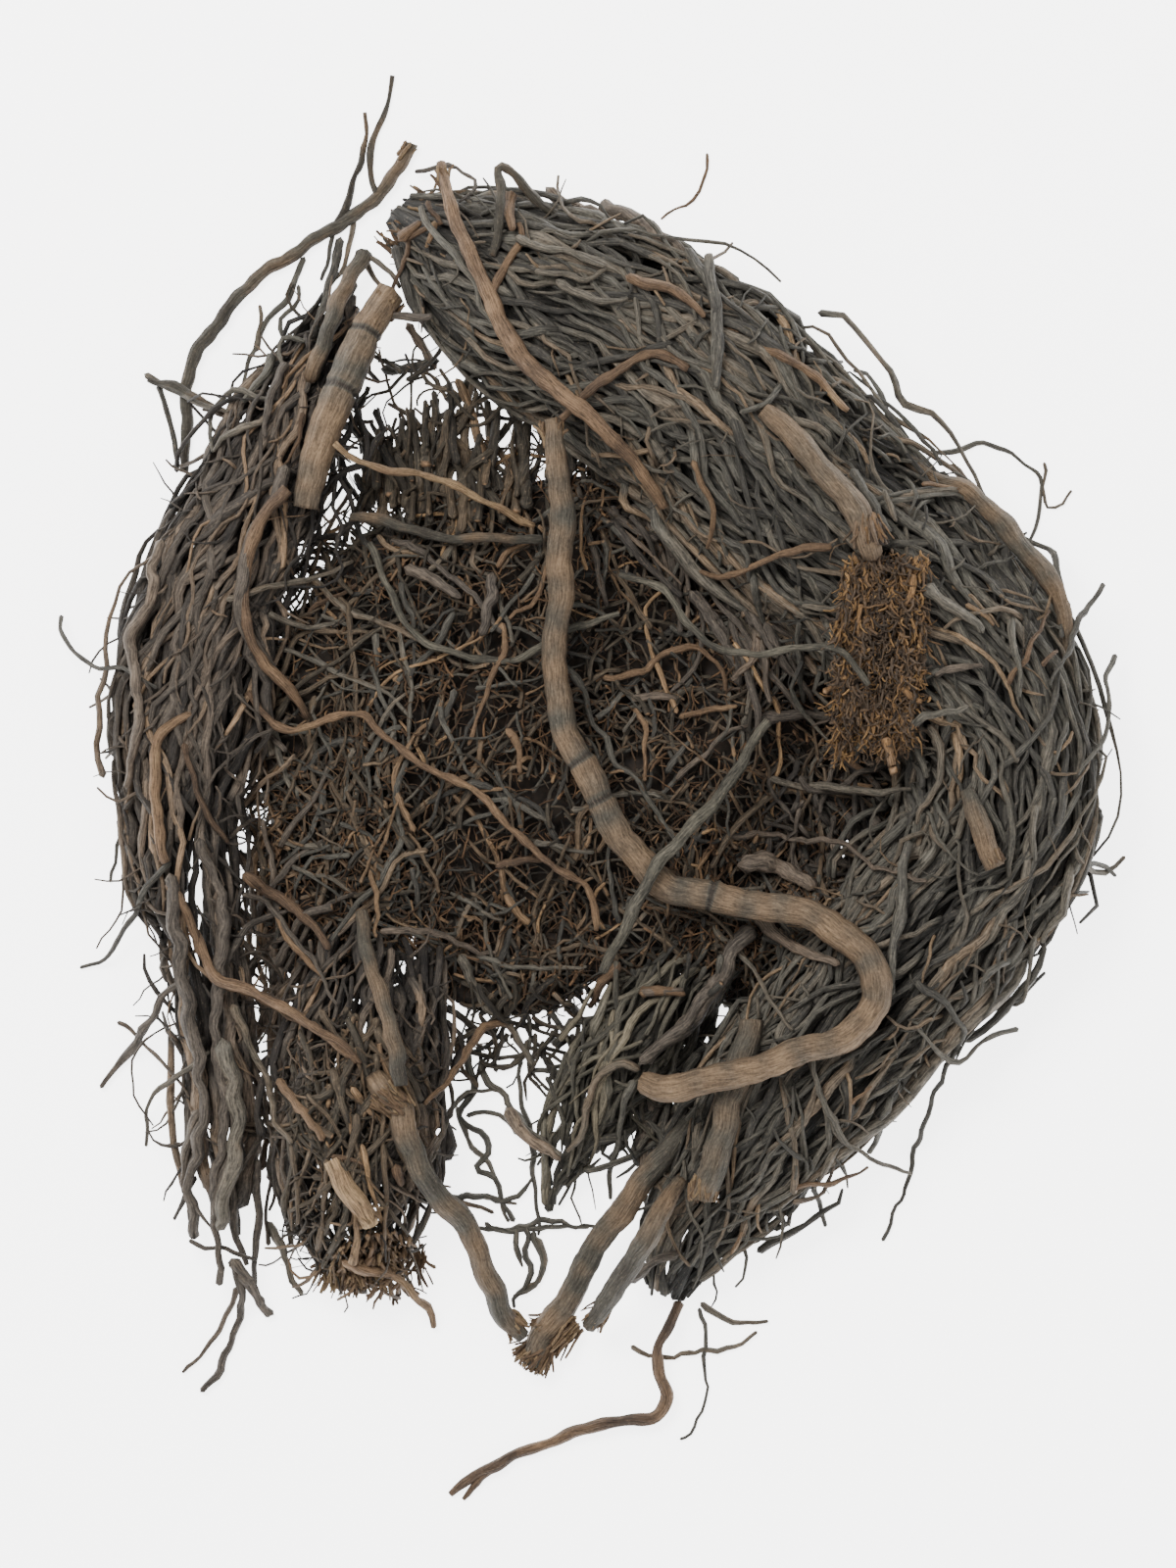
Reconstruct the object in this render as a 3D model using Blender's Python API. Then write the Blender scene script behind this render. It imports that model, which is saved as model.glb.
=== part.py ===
"""Banyan root: a loose heap of dried aerial roots, bent round a mat of their fine rootlets.

Units are metres and +Z is up. The heap lies on z = 0, with its origin under the middle of its box.
Routes are read by eye from the photograph, which looks straight down, and are written in its pixels as
(across, down) or (across, down, half width). PIXEL is the real size of one of them.
"""

import math
import random

import bmesh
import bpy
from mathutils import Vector
from mathutils.bvhtree import BVHTree

MM = 0.001

# Driving dimensions
PIXEL = 0.2 * MM  # the stoutest root is 35 pixels wide and 7 mm thick
PHOTO_CENTRE = (600.4, 802.85)  # the pixel over the origin
STRAND_RADIUS = 2.8 * MM  # roots that lie side by side in a hank
ROOTLET_RADIUS = 1.4 * MM
FIBRE_RADIUS = 1.6 * MM
STOUT = 1.9 * MM  # a single root of this radius or more has 8 sides
SIDE_GAP = 1.0 * MM  # between the bunches that lie beside each other
REST_GAP = 0.3 * MM  # between a root and what it lies on
PRESSED = 0.5 * MM  # how far the lowest roots are flattened on the ground
MOST_SLOPE = 0.75  # how steeply a root comes down off what holds it up
SKY = 0.2  # a height above the whole heap

# How the roots of a bunch wander: shares of its length, and angles round it
STRAND_SPAN = (0.5, 1.0)
STRAND_TWIST = 0.45
STRAND_SWING = (0.03, 0.18)
STRAND_BEATS = (1.0, 2.5)
ROOTLET_STEP = (7.5 * MM, 12.5 * MM)
ROOTLET_BEND = 0.6
CORE_DEPTH = 1.45  # how far a bunch's core lies under its outside, in radii of its roots

# How finely the roots are drawn
CURVE_STEPS = 12
BUNCH_STATIONS = 48
CORE_SPACING = 20 * MM
STRAND_SPACING = 32 * MM
STRAY_SPACING = 8 * MM
ROOT_SPACING = 9 * MM
ROOTLET_POINTS = 4
LAY_SAMPLES = 9
TUFT_STATIONS = 6
TUFT_LANES = 7
TUFT_LOOSE_FIBRES = 6

# Bunches of roots: the middle line with its half width, and its height over its width
MAIN_HANK = [
    (412, 222, 38), (468, 258, 76), (540, 302, 103), (632, 347, 116), (725, 412, 121), (815, 503, 116),
    (922, 606, 112), (1012, 724, 106), (1016, 850, 104), (942, 957, 99), (846, 1068, 96), (765, 1170, 80),
    (712, 1250, 57), (688, 1312, 32),
]
SIDE_HANK = [
    (352, 305, 18), (326, 365, 38), (288, 440, 60), (243, 530, 72), (204, 630, 75), (186, 740, 70),
    (188, 850, 62), (202, 960, 54), (217, 1070, 46), (222, 1180, 42), (232, 1285, 28),
]
LOWER_HANK = [
    (388, 968, 66), (372, 1040, 82), (362, 1120, 84), (358, 1200, 82), (364, 1262, 64), (370, 1302, 40),
]
TASSEL = [
    (724, 962, 26), (692, 1000, 40), (650, 1056, 44), (612, 1115, 40), (584, 1170, 30), (566, 1222, 14),
]
TUFT = [(903, 574, 38), (897, 640, 46), (894, 712, 44), (890, 768, 34)]
# The mat is a low dome with smaller ones round it: across, down, half sizes in pixels, and height
MAT_LOBES = [
    (584, 744, 370, 290, 20 * MM), (345, 905, 95, 130, 12 * MM), (445, 490, 100, 70, 7 * MM),
    (520, 985, 95, 60, 8 * MM), (790, 950, 120, 100, 17 * MM),
]
MAT_ROOTLETS = 42
MAT_SEED = 11
TUFT_SEED = 5

WOOD_BROWN = (0.24, 0.175, 0.12)
DARK_GREY = (0.075, 0.068, 0.058)
DARK_BROWN = (0.11, 0.075, 0.048)
GREY_GREEN = (0.13, 0.13, 0.105)
RUST = (0.22, 0.105, 0.035)
TAN = (0.36, 0.25, 0.15)
ROUGHNESS = 0.85

# Single roots that lie on the heap, from the lowest up: name, colour, route with half widths
SINGLE_ROOTS = [
    ("stump_root", WOOD_BROWN, [(766, 1040, 13), (754, 1090, 15), (740, 1140, 15), (727, 1190, 15), (717, 1224, 15)]),
    ("twin_root_inner", WOOD_BROWN, [
        (704, 1142, 8), (687, 1168, 11), (654, 1210, 13), (624, 1251, 14), (600, 1289, 14), (583, 1323, 14),
        (561, 1358, 15), (540, 1396, 13)]),
    ("twin_root_outer", WOOD_BROWN, [
        (696, 1206, 8), (676, 1232, 11), (658, 1262, 12), (638, 1300, 12), (617, 1334, 10), (600, 1356, 8)]),
    ("ankle_root", WOOD_BROWN, [
        (384, 1104, 14), (410, 1130, 14), (416, 1166, 13), (432, 1196, 13), (458, 1232, 13), (484, 1266, 12),
        (499, 1312, 12), (514, 1346, 11), (534, 1366, 9)]),
    ("tail_root", TAN, [
        (694, 1335, 6), (674, 1375, 6), (672, 1402, 7), (682, 1430, 7), (670, 1449, 8), (640, 1456, 7),
        (600, 1462, 7), (560, 1478, 6), (525, 1492, 6), (490, 1508, 6), (458, 1532, 4)]),
    ("arc_root", WOOD_BROWN, [
        (418, 140, 7), (400, 175, 7), (370, 206, 7), (330, 232, 7), (290, 258, 7), (262, 275, 7), (235, 305, 7),
        (210, 337, 8), (193, 362, 7), (187, 400, 7), (186, 440, 6), (183, 478, 5)]),
    ("side_stick", WOOD_BROWN, [(148, 382, 3), (175, 394, 5), (205, 408, 5), (245, 424, 3)]),
    ("short_root", WOOD_BROWN, [(368, 254, 9), (350, 295, 9), (331, 342, 9), (316, 385, 8)]),
    ("stout_root", WOOD_BROWN, [
        (398, 298, 17), (370, 344, 18), (348, 395, 19), (332, 442, 17), (317, 490, 16), (310, 518, 14)]),
    ("side_tan_root", TAN, [
        (294, 500, 7), (270, 528, 7), (254, 565, 7), (251, 635, 6), (268, 674, 6), (290, 697, 6), (313, 732, 4)]),
    ("knee_root", TAN, [
        (170, 880, 5), (163, 850, 6), (158, 800, 6), (160, 760, 6), (178, 738, 5), (196, 728, 4)]),
    ("centre_root", WOOD_BROWN, [
        (368, 930, 6), (376, 970, 8), (386, 1008, 8), (397, 1040, 9), (407, 1070, 9), (408, 1106, 8)]),
    ("slant_root", TAN, [
        (196, 950, 5), (220, 995, 6), (262, 1014, 6), (305, 1036, 5), (335, 1056, 5), (366, 1082, 4)]),
    ("lower_stub", TAN, [(340, 1182, 9), (352, 1206, 11), (366, 1230, 11), (378, 1250, 10)]),
    ("red_root", WOOD_BROWN, [(357, 526, 5), (392, 532, 6), (440, 545, 5), (500, 550, 5), (552, 551, 5)]),
    ("tan_root", TAN, [
        (342, 453, 3), (368, 473, 4), (398, 481, 4), (444, 487, 4), (480, 504, 4), (514, 522, 4), (545, 536, 4)]),
    ("curved_grey_root", GREY_GREEN, [
        (378, 553, 4), (391, 590, 4), (404, 619, 4), (425, 648, 4), (464, 667, 4), (502, 675, 4), (533, 670, 4),
        (570, 648, 4), (604, 636, 4), (632, 626, 3)]),
    ("long_tan_root", TAN, [
        (250, 708, 4), (273, 731, 4), (294, 744, 4), (326, 739, 4), (352, 729, 4), (375, 728, 4), (390, 752, 4),
        (428, 777, 4), (476, 803, 4), (502, 823, 4), (527, 848, 4), (550, 875, 4), (594, 899, 4), (605, 925, 4),
        (607, 950, 3)]),
    ("grey_arc_root", GREY_GREEN, [
        (632, 587, 3), (665, 595, 4), (686, 612, 4), (701, 638, 4), (730, 660, 4), (768, 668, 4), (806, 664, 4),
        (844, 660, 4), (867, 675, 4), (884, 700, 3)]),
    ("edge_root", WOOD_BROWN, [
        (925, 465, 6), (952, 487, 8), (985, 502, 9), (1020, 530, 11), (1050, 565, 11), (1076, 602, 10),
        (1090, 650, 8), (1092, 700, 6)]),
    ("right_stout_root", WOOD_BROWN, [
        (778, 420, 10), (802, 442, 13), (830, 474, 13), (857, 505, 14), (878, 536, 14), (887, 566, 12)]),
    ("pale_streak_root", TAN, [(735, 335, 4), (775, 356, 5), (814, 375, 5), (844, 398, 5), (865, 420, 3)]),
    ("upright_root", DARK_GREY, [(724, 262, 5), (727, 300, 6), (729, 345, 6), (730, 400, 5)]),
    ("curl_root", TAN, [(570, 433, 4), (600, 403, 5), (631, 380, 5), (659, 366, 5), (682, 367, 5), (702, 378, 5)]),
    ("hook_root", WOOD_BROWN, [
        (503, 262, 4), (508, 232, 5), (511, 196, 5), (510, 172, 5), (526, 181, 5), (547, 201, 5), (570, 220, 4)]),
    ("cut_stub", WOOD_BROWN, [(984, 806, 8), (992, 832, 11), (1003, 858, 11), (1014, 884, 11)]),
    ("forked_root", TAN, [
        (449, 165, 5), (456, 196, 7), (470, 236, 8), (487, 277, 8), (507, 320, 9), (530, 362, 10), (560, 395, 9),
        (600, 425, 9), (632, 457, 8), (656, 487, 7), (677, 518, 6)]),
    ("bent_root", WOOD_BROWN, [
        (562, 430, 9), (570, 480, 12), (573, 540, 14), (572, 600, 14), (567, 660, 13), (569, 716, 14),
        (586, 766, 15), (613, 816, 16), (641, 865, 16), (682, 903, 16), (740, 918, 16), (800, 927, 16),
        (851, 946, 16), (884, 980, 16), (893, 1021, 16), (867, 1052, 16), (810, 1075, 15), (740, 1097, 15),
        (690, 1108, 15), (657, 1104, 13)]),
    ("over_root", GREY_GREEN, [
        (783, 736, 5), (762, 768, 6), (732, 815, 7), (701, 848, 7), (675, 876, 7), (660, 901, 7), (643, 935, 7),
        (615, 990, 5)]),
]
# Side branches that grow from a single root: route and half widths
BRANCHES = {
    "arc_root": [
        [(398, 70, 2.5), (394, 104, 3), (381, 140, 3), (374, 165, 3), (382, 192, 3)],
        [(371, 120, 2.5), (362, 165, 3), (352, 205, 3), (340, 226, 3)]],
    "forked_root": [[(531, 228, 3), (533, 244, 4), (520, 262, 4), (502, 303, 5)]],
    "tail_root": [[(472, 1534, 3), (490, 1516, 4), (515, 1500, 4)]],
}
# Loose ends that leave a bunch: route and half widths, from inside the bunch outwards
MAIN_STRAYS = [
    [(1040, 790, 4), (1095, 790, 4), (1118, 740, 4), (1133, 700, 3.5), (1138, 668, 3)],
    [(1060, 700, 4), (1095, 700, 4), (1110, 640, 3.5), (1124, 598, 3)],
    [(1060, 860, 4), (1108, 830, 4), (1132, 790, 3), (1144, 762, 2.5)],
    [(985, 505, 4), (960, 470, 4), (925, 430, 3.5), (902, 392, 3), (878, 377, 2.5)],
    [(990, 560, 4), (1000, 490, 3), (1010, 458, 3), (1044, 458, 3), (1064, 480, 3), (1062, 530, 2.5)],
    [(950, 1010, 4), (985, 1060, 4), (955, 1120, 3.5), (930, 1192, 3.5), (906, 1266, 3)],
    [(830, 1100, 4), (850, 1140, 3.5), (885, 1178, 3), (930, 1198, 2.5)],
    [(820, 360, 4), (785, 320, 4), (762, 290, 3.5), (756, 246, 3)],
    [(760, 330, 4), (728, 280, 3.5), (700, 240, 3), (668, 228, 2.5)],
    [(1010, 930, 4), (1050, 960, 3.5), (1045, 1010, 3), (1020, 1030, 2.5)],
    [(700, 1290, 4), (690, 1340, 4), (736, 1352, 3), (772, 1360, 2.5)],
    [(705, 1250, 5), (662, 1292, 5), (636, 1312, 4)],
]
SIDE_STRAYS = [
    [(178, 850, 4), (150, 890, 4), (125, 945, 4), (80, 992, 3.5)],
    [(215, 985, 5), (168, 1013, 6), (132, 1072, 6), (98, 1112, 4)],
    [(160, 700, 4), (118, 686, 3.5), (66, 662, 3), (57, 623, 2.5)],
    [(238, 1250, 6), (242, 1320, 6), (226, 1385, 6), (202, 1426, 5)],
    [(222, 1040, 4), (190, 1065, 3.5), (152, 1120, 3), (145, 1172, 2.5)],
    [(180, 800, 4), (125, 810, 3), (116, 860, 3), (108, 900, 2.5)],
    [(230, 560, 5), (178, 520, 6), (166, 440, 5), (158, 392, 4)],
    [(300, 420, 4), (268, 370, 4), (285, 310, 3), (300, 262, 2.5)],
]
LOWER_STRAYS = [
    [(360, 1262, 4), (405, 1282, 4), (428, 1320, 3.5), (440, 1354, 3)],
    [(352, 1230, 6), (356, 1296, 7), (362, 1326, 5)],
    [(376, 1240, 6), (388, 1296, 7), (396, 1322, 5)],
]
TASSEL_STRAYS = [
    [(600, 1140, 4), (552, 1200, 4), (545, 1262, 4), (536, 1318, 3)],
    [(640, 1075, 5), (560, 1090, 5), (520, 1150, 4), (470, 1190, 4)],
    [(600, 1150, 4), (560, 1215, 4), (530, 1240, 3.5), (500, 1226, 3.5), (468, 1224, 3)],
    [(585, 1165, 4), (612, 1215, 4), (602, 1257, 3.5), (550, 1260, 3.5), (497, 1254, 3)],
]


# Each bunch: its route, height over width, number of roots, their radius, loose ends, seed and colour
BUNCHES = {
    "main_hank": (MAIN_HANK, 0.72, 30, STRAND_RADIUS, MAIN_STRAYS, 3, DARK_GREY),
    "side_hank": (SIDE_HANK, 0.8, 16, STRAND_RADIUS, SIDE_STRAYS, 7, DARK_BROWN),
    "lower_hank": (LOWER_HANK, 0.8, 13, STRAND_RADIUS, LOWER_STRAYS, 9, DARK_BROWN),
    "tassel": (TASSEL, 0.9, 8, 0.8 * STRAND_RADIUS, TASSEL_STRAYS, 4, GREY_GREEN),
}


def spot(across, down):
    """The place on the ground under a pixel of the photograph."""
    return Vector(((across - PHOTO_CENTRE[0]) * PIXEL, (PHOTO_CENTRE[1] - down) * PIXEL, 0.0))


def route_points(route):
    """(place on the ground, half width in metres) for each point of a route."""
    return [(spot(u, v), half * PIXEL) for u, v, half in route]


def catmull(a, b, c, d, t):
    """A point of the smooth curve through b and c, a share t of the way from b to c."""
    return b + 0.5 * t * ((c - a) + t * ((2 * a - 5 * b + 4 * c - d) + t * (3 * (b - c) + d - a)))


def smooth_route(route, count):
    """Count evenly spaced (place, half width) pairs along the smooth curve through a route."""
    known = route_points(route)
    places = [known[0], *known, known[-1]]
    fine = []
    for first, second, third, fourth in zip(places, places[1:], places[2:], places[3:]):
        for step in range(CURVE_STEPS):
            t = step / CURVE_STEPS
            ends = zip(first, second, third, fourth)
            fine.append(tuple(catmull(*four, t) for four in ends))
    fine.append(known[-1])
    run = [0.0]
    for (here, _), (there, _) in zip(fine, fine[1:]):
        run.append(run[-1] + (there - here).length)
    spaced, k = [], 0
    for index in range(count):
        wanted = run[-1] * index / (count - 1)
        while k < len(run) - 2 and run[k + 1] < wanted:
            k += 1
        share = (wanted - run[k]) / max(run[k + 1] - run[k], 1e-9)
        (here, half), (there, next_half) = fine[k], fine[k + 1]
        spaced.append((here.lerp(there, share), half + (next_half - half) * share))
    return spaced


def route_length(route):
    places = [place for place, _ in route_points(route)]
    return sum((b - a).length for a, b in zip(places, places[1:]))


def material(name, colour):
    """One finish for each colour of root, made once."""
    if name in bpy.data.materials:
        return bpy.data.materials[name]
    made = bpy.data.materials.new(name)
    made.use_nodes = True
    shader = made.node_tree.nodes["Principled BSDF"]
    shader.inputs["Base Color"].default_value = (*colour, 1.0)
    shader.inputs["Roughness"].default_value = ROUGHNESS
    return made


def link(obj, collection):
    collection.objects.link(obj)
    return obj


def tube(name, places, radii, sides, collection):
    """A round root as a bevelled curve through places, with 4, 6 or 8 sides."""
    curve = bpy.data.curves.new(name, "CURVE")
    curve.dimensions = "3D"
    curve.bevel_depth = 1.0
    curve.bevel_resolution = (sides - 4) // 2
    curve.use_fill_caps = True
    spline = curve.splines.new("POLY")
    spline.points.add(len(places) - 1)
    for point, place, radius in zip(spline.points, places, radii):
        point.co = (*place, 1.0)
        point.radius = radius
    return link(bpy.data.objects.new(name, curve), collection)


def as_mesh(obj):
    """Replaces a curve object by a mesh of the same shape, with its caps welded on."""
    graph = bpy.context.evaluated_depsgraph_get()
    mesh = bpy.data.meshes.new_from_object(obj.evaluated_get(graph))
    shape = bmesh.new()
    shape.from_mesh(mesh)
    bmesh.ops.remove_doubles(shape, verts=shape.verts, dist=0.01 * MM)
    bmesh.ops.recalc_face_normals(shape, faces=shape.faces)
    shape.to_mesh(mesh)
    shape.free()
    name, home = obj.name, obj.users_collection[0]
    bpy.data.objects.remove(obj)
    return link(bpy.data.objects.new(name, mesh), home)


def frozen(obj):
    """Applies an object's modifiers."""
    graph = bpy.context.evaluated_depsgraph_get()
    mesh = bpy.data.meshes.new_from_object(obj.evaluated_get(graph))
    obj.modifiers.clear()
    obj.data = mesh
    return obj


def drop_scraps(obj):
    """Keeps only the largest connected piece of an object's mesh."""
    shape = bmesh.new()
    shape.from_mesh(obj.data)
    left, islands = set(shape.verts), []
    while left:
        island, edge = set(), [left.pop()]
        while edge:
            vertex = edge.pop()
            island.add(vertex)
            for joint in vertex.link_edges:
                other = joint.other_vert(vertex)
                if other in left:
                    left.remove(other)
                    edge.append(other)
        islands.append(island)
    islands.sort(key=len)
    scraps = [vertex for island in islands[:-1] for vertex in island]
    bmesh.ops.delete(shape, geom=scraps, context="VERTS")
    shape.to_mesh(obj.data)
    shape.free()


def combine(obj, operation, collection):
    """One Boolean of an object with everything in a collection, whose objects are then removed."""
    cut = obj.modifiers.new(operation.title(), "BOOLEAN")
    cut.operation = operation
    cut.operand_type = "COLLECTION"
    cut.collection = collection
    cut.solver = "MANIFOLD"
    frozen(obj)
    for used in list(collection.objects):
        bpy.data.objects.remove(used)


def ground_cutter(collection):
    """A slab under z = 0, against which the lowest roots are pressed flat."""
    bpy.ops.mesh.primitive_cube_add(size=1.0, location=(0, 0, -0.05))
    slab = bpy.context.object
    slab.scale = (0.6, 0.6, 0.1)
    bpy.ops.object.transform_apply(location=True, rotation=True, scale=True)
    slab.users_collection[0].objects.unlink(slab)
    slab.name = "ground_cutter"
    return link(slab, collection)


class Bunch:
    """The room that a bunch of roots takes: a flattened tube along a middle line on the ground."""

    def __init__(self, route, flatness):
        self.flatness = flatness
        self.line = smooth_route(route, BUNCH_STATIONS)
        self.length = route_length(route)

    def frame(self, share):
        """(place on the ground, direction to the left, half width) a share of the way along."""
        last = len(self.line) - 1
        at = min(max(share, 0.0), 1.0) * last
        k = min(int(at), last - 1)
        (here, half), (there, next_half) = self.line[k], self.line[k + 1]
        along = (there - here).normalized()
        left = Vector((-along.y, along.x, 0.0))
        return here.lerp(there, at - k), left, half + (next_half - half) * (at - k)

    def place(self, share, across, up, radius):
        """The middle of a root of this radius, across and up from -1 to 1 over the bunch's section."""
        here, left, half = self.frame(share)
        room = max(half - radius, 0.3 * radius)
        high = max(half * self.flatness - radius, 0.3 * radius)
        height = half * self.flatness - PRESSED
        return here + left * (across * room) + Vector((0.0, 0.0, max(height + up * high, radius - PRESSED)))

    def solid(self, name, shrink, count, sides, collection):
        """The flattened tube itself, smaller all round by shrink."""
        outside = 1.0 / math.cos(math.pi / sides) if shrink < 0.0 else 1.0
        section = bpy.data.curves.new(name + "_section", "CURVE")
        section.dimensions = "2D"
        ring = section.splines.new("POLY")
        ring.points.add(sides - 1)
        for index, point in enumerate(ring.points):
            turn = math.tau * (index + 0.5) / sides
            point.co = (outside * math.cos(turn), outside * math.sin(turn) * self.flatness, 0.0, 1.0)
        ring.use_cyclic_u = True
        guide = bpy.data.objects.new(name + "_section", section)
        link(guide, collection)
        curve = bpy.data.curves.new(name, "CURVE")
        curve.dimensions = "3D"
        curve.twist_mode = "Z_UP"
        curve.bevel_mode = "OBJECT"
        curve.bevel_object = guide
        curve.use_fill_caps = True
        spline = curve.splines.new("POLY")
        spline.points.add(count - 1)
        for index, point in enumerate(spline.points):
            here, _, half = self.frame(index / (count - 1))
            point.co = (here.x, here.y, half * self.flatness - PRESSED, 1.0)
            point.radius = max(half - shrink, 0.4 * half)
        if shrink < 0.0:
            for end, beside in ((0, 1), (-1, -2)):
                tip, inner = Vector(spline.points[end].co), Vector(spline.points[beside].co)
                spline.points[end].co = tip - (inner - tip).normalized() * (2.0 * SIDE_GAP)
        obj = as_mesh(link(bpy.data.objects.new(name, curve), collection))
        bpy.data.objects.remove(guide)
        return obj


def strand(bunch, draw, name, turn, radius, collection):
    """One root of a bunch: it follows the middle line near the surface and wanders round it."""
    span = draw.uniform(*STRAND_SPAN)
    start = draw.uniform(0.0, 1.0 - span)
    twist = draw.uniform(-STRAND_TWIST, STRAND_TWIST)
    swing, beat, phase = draw.uniform(*STRAND_SWING), draw.uniform(*STRAND_BEATS), draw.uniform(0.0, math.tau)
    thick = radius * draw.uniform(0.75, 1.15)
    count = max(4, round(span * bunch.length / STRAND_SPACING))
    places, radii = [], []
    for index in range(count):
        share = index / (count - 1)
        angle = turn + twist * share + swing * math.sin(beat * math.tau * share + phase)
        depth = 0.93 + 0.07 * math.sin(2.3 * math.tau * share + phase)
        places.append(bunch.place(start + span * share, depth * math.cos(angle), depth * math.sin(angle), thick))
        radii.append(thick * (1.0 - 0.35 * abs(2 * share - 1) ** 3))
    return as_mesh(tube(name, places, radii, 4, collection))


def stray(bunch, route, name, collection):
    """A loose end: it starts inside the bunch and comes down to the ground outside it."""
    count = max(5, round(route_length(route) / STRAY_SPACING))
    places, radii = [], []
    for index, (place, half) in enumerate(smooth_route(route, count)):
        _, _, wide = nearest_frame(bunch, place)
        inside = wide * bunch.flatness
        share = index / (count - 1)
        height = max(inside * (1.0 - share) ** 1.5, half - PRESSED * 0.5)
        places.append(place + Vector((0.0, 0.0, height)))
        radii.append(half)
    return as_mesh(tube(name, places, radii, 4, collection))


def nearest_frame(bunch, place):
    """The bunch's frame nearest to a place on the ground."""
    last = len(bunch.line) - 1
    best = min(range(last + 1), key=lambda k: (bunch.line[k][0] - place).length)
    return bunch.frame(best / last)


def bunch_of_roots(name, colour, bunch, count, radius, strays, seed, home, spare):
    """A bunch as one solid: a slimmer core, with its roots and loose ends standing out of it."""
    draw = random.Random(seed)
    core = bunch.solid(name, CORE_DEPTH * radius, max(8, round(bunch.length / CORE_SPACING)), 10, home)
    for index in range(count):
        turn = math.tau * (index + draw.uniform(-0.6, 0.6)) / count
        strand(bunch, draw, f"{name}_strand_{index}", turn, radius, spare)
    for index, route in enumerate(strays):
        stray(bunch, route, f"{name}_stray_{index}", spare)
    combine(core, "UNION", spare)
    ground_cutter(spare)
    combine(core, "DIFFERENCE", spare)
    drop_scraps(core)
    core.data.materials.clear()
    core.data.materials.append(material(name, colour))
    return core


def dome_height(place):
    """Height of the mat's core over a place on the ground, which is 0 outside it."""
    tops = []
    for across, down, half_across, half_down, high in MAT_LOBES:
        gap = place - spot(across, down)
        out = (gap.x / (half_across * PIXEL)) ** 2 + (gap.y / (half_down * PIXEL)) ** 2
        tops.append(high * math.sqrt(max(1.0 - out, 0.0)))
    return max(tops)


def lobe_core(name, lobe, collection):
    """One dome of the mat, with its lower half under the ground."""
    across, down, half_across, half_down, high = lobe
    bpy.ops.mesh.primitive_uv_sphere_add(segments=16, ring_count=10, radius=1.0, location=spot(across, down))
    core = bpy.context.object
    core.scale = (half_across * PIXEL, half_down * PIXEL, high)
    bpy.ops.object.transform_apply(location=True, rotation=True, scale=True)
    core.name = name
    core.users_collection[0].objects.unlink(core)
    return link(core, collection)


def rootlet(draw, name, collection):
    """A short bent root of the mat: one end is sunk in the core and the rest lies over it."""
    areas = [half_across * half_down for _, _, half_across, half_down, _ in MAT_LOBES]
    across, down, half_across, half_down, _ = draw.choices(MAT_LOBES, areas)[0]
    out, way = math.sqrt(draw.random()) * 0.88, draw.uniform(0.0, math.tau)
    place = spot(across + out * math.cos(way) * half_across, down + out * math.sin(way) * half_down)
    heading, bend = draw.uniform(0.0, math.tau), draw.uniform(-ROOTLET_BEND, ROOTLET_BEND)
    radius = ROOTLET_RADIUS * draw.uniform(0.8, 1.25)
    places, radii = [], []
    for index in range(ROOTLET_POINTS):
        lift = radius * (draw.uniform(0.4, 1.6) if index else -1.4)
        places.append(Vector((place.x, place.y, max(dome_height(place) + lift, radius))))
        radii.append(radius * (0.75 if index == ROOTLET_POINTS - 1 else 1.0))
        place = place + Vector((math.cos(heading), math.sin(heading), 0.0)) * draw.uniform(*ROOTLET_STEP)
        heading += bend
    return as_mesh(tube(name, places, radii, 4, collection))


def rootlet_mat(bunches, home, spare):
    """The mat in the middle: low domes covered in rootlets, kept clear of the bunches round them."""
    draw = random.Random(MAT_SEED)
    core = lobe_core("rootlet_mat", MAT_LOBES[0], home)
    for index, lobe in enumerate(MAT_LOBES[1:]):
        lobe_core(f"mat_lobe_{index}", lobe, spare)
    for index in range(MAT_ROOTLETS):
        rootlet(draw, f"rootlet_{index}", spare)
    combine(core, "UNION", spare)
    for index, bunch in enumerate(bunches):
        bunch.solid(f"bunch_room_{index}", -SIDE_GAP, 16, 12, spare)
    ground_cutter(spare)
    combine(core, "DIFFERENCE", spare)
    drop_scraps(core)
    core.data.materials.clear()
    core.data.materials.append(material("rootlet_mat", DARK_BROWN))
    return core


def tree_of(obj):
    """A search tree of an object's faces in world space."""
    graph = bpy.context.evaluated_depsgraph_get()
    mesh = obj.evaluated_get(graph).to_mesh()
    corners = [obj.matrix_world @ vertex.co for vertex in mesh.vertices]
    return BVHTree.FromPolygons(corners, [face.vertices[:] for face in mesh.polygons])


def top_over(trees, place):
    """Height of the highest surface over a place on the ground."""
    highest = 0.0
    for tree in trees:
        hit = tree.ray_cast(Vector((place.x, place.y, SKY)), Vector((0.0, 0.0, -1.0)))[0]
        if hit is not None:
            highest = max(highest, hit.z)
    return highest


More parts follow.
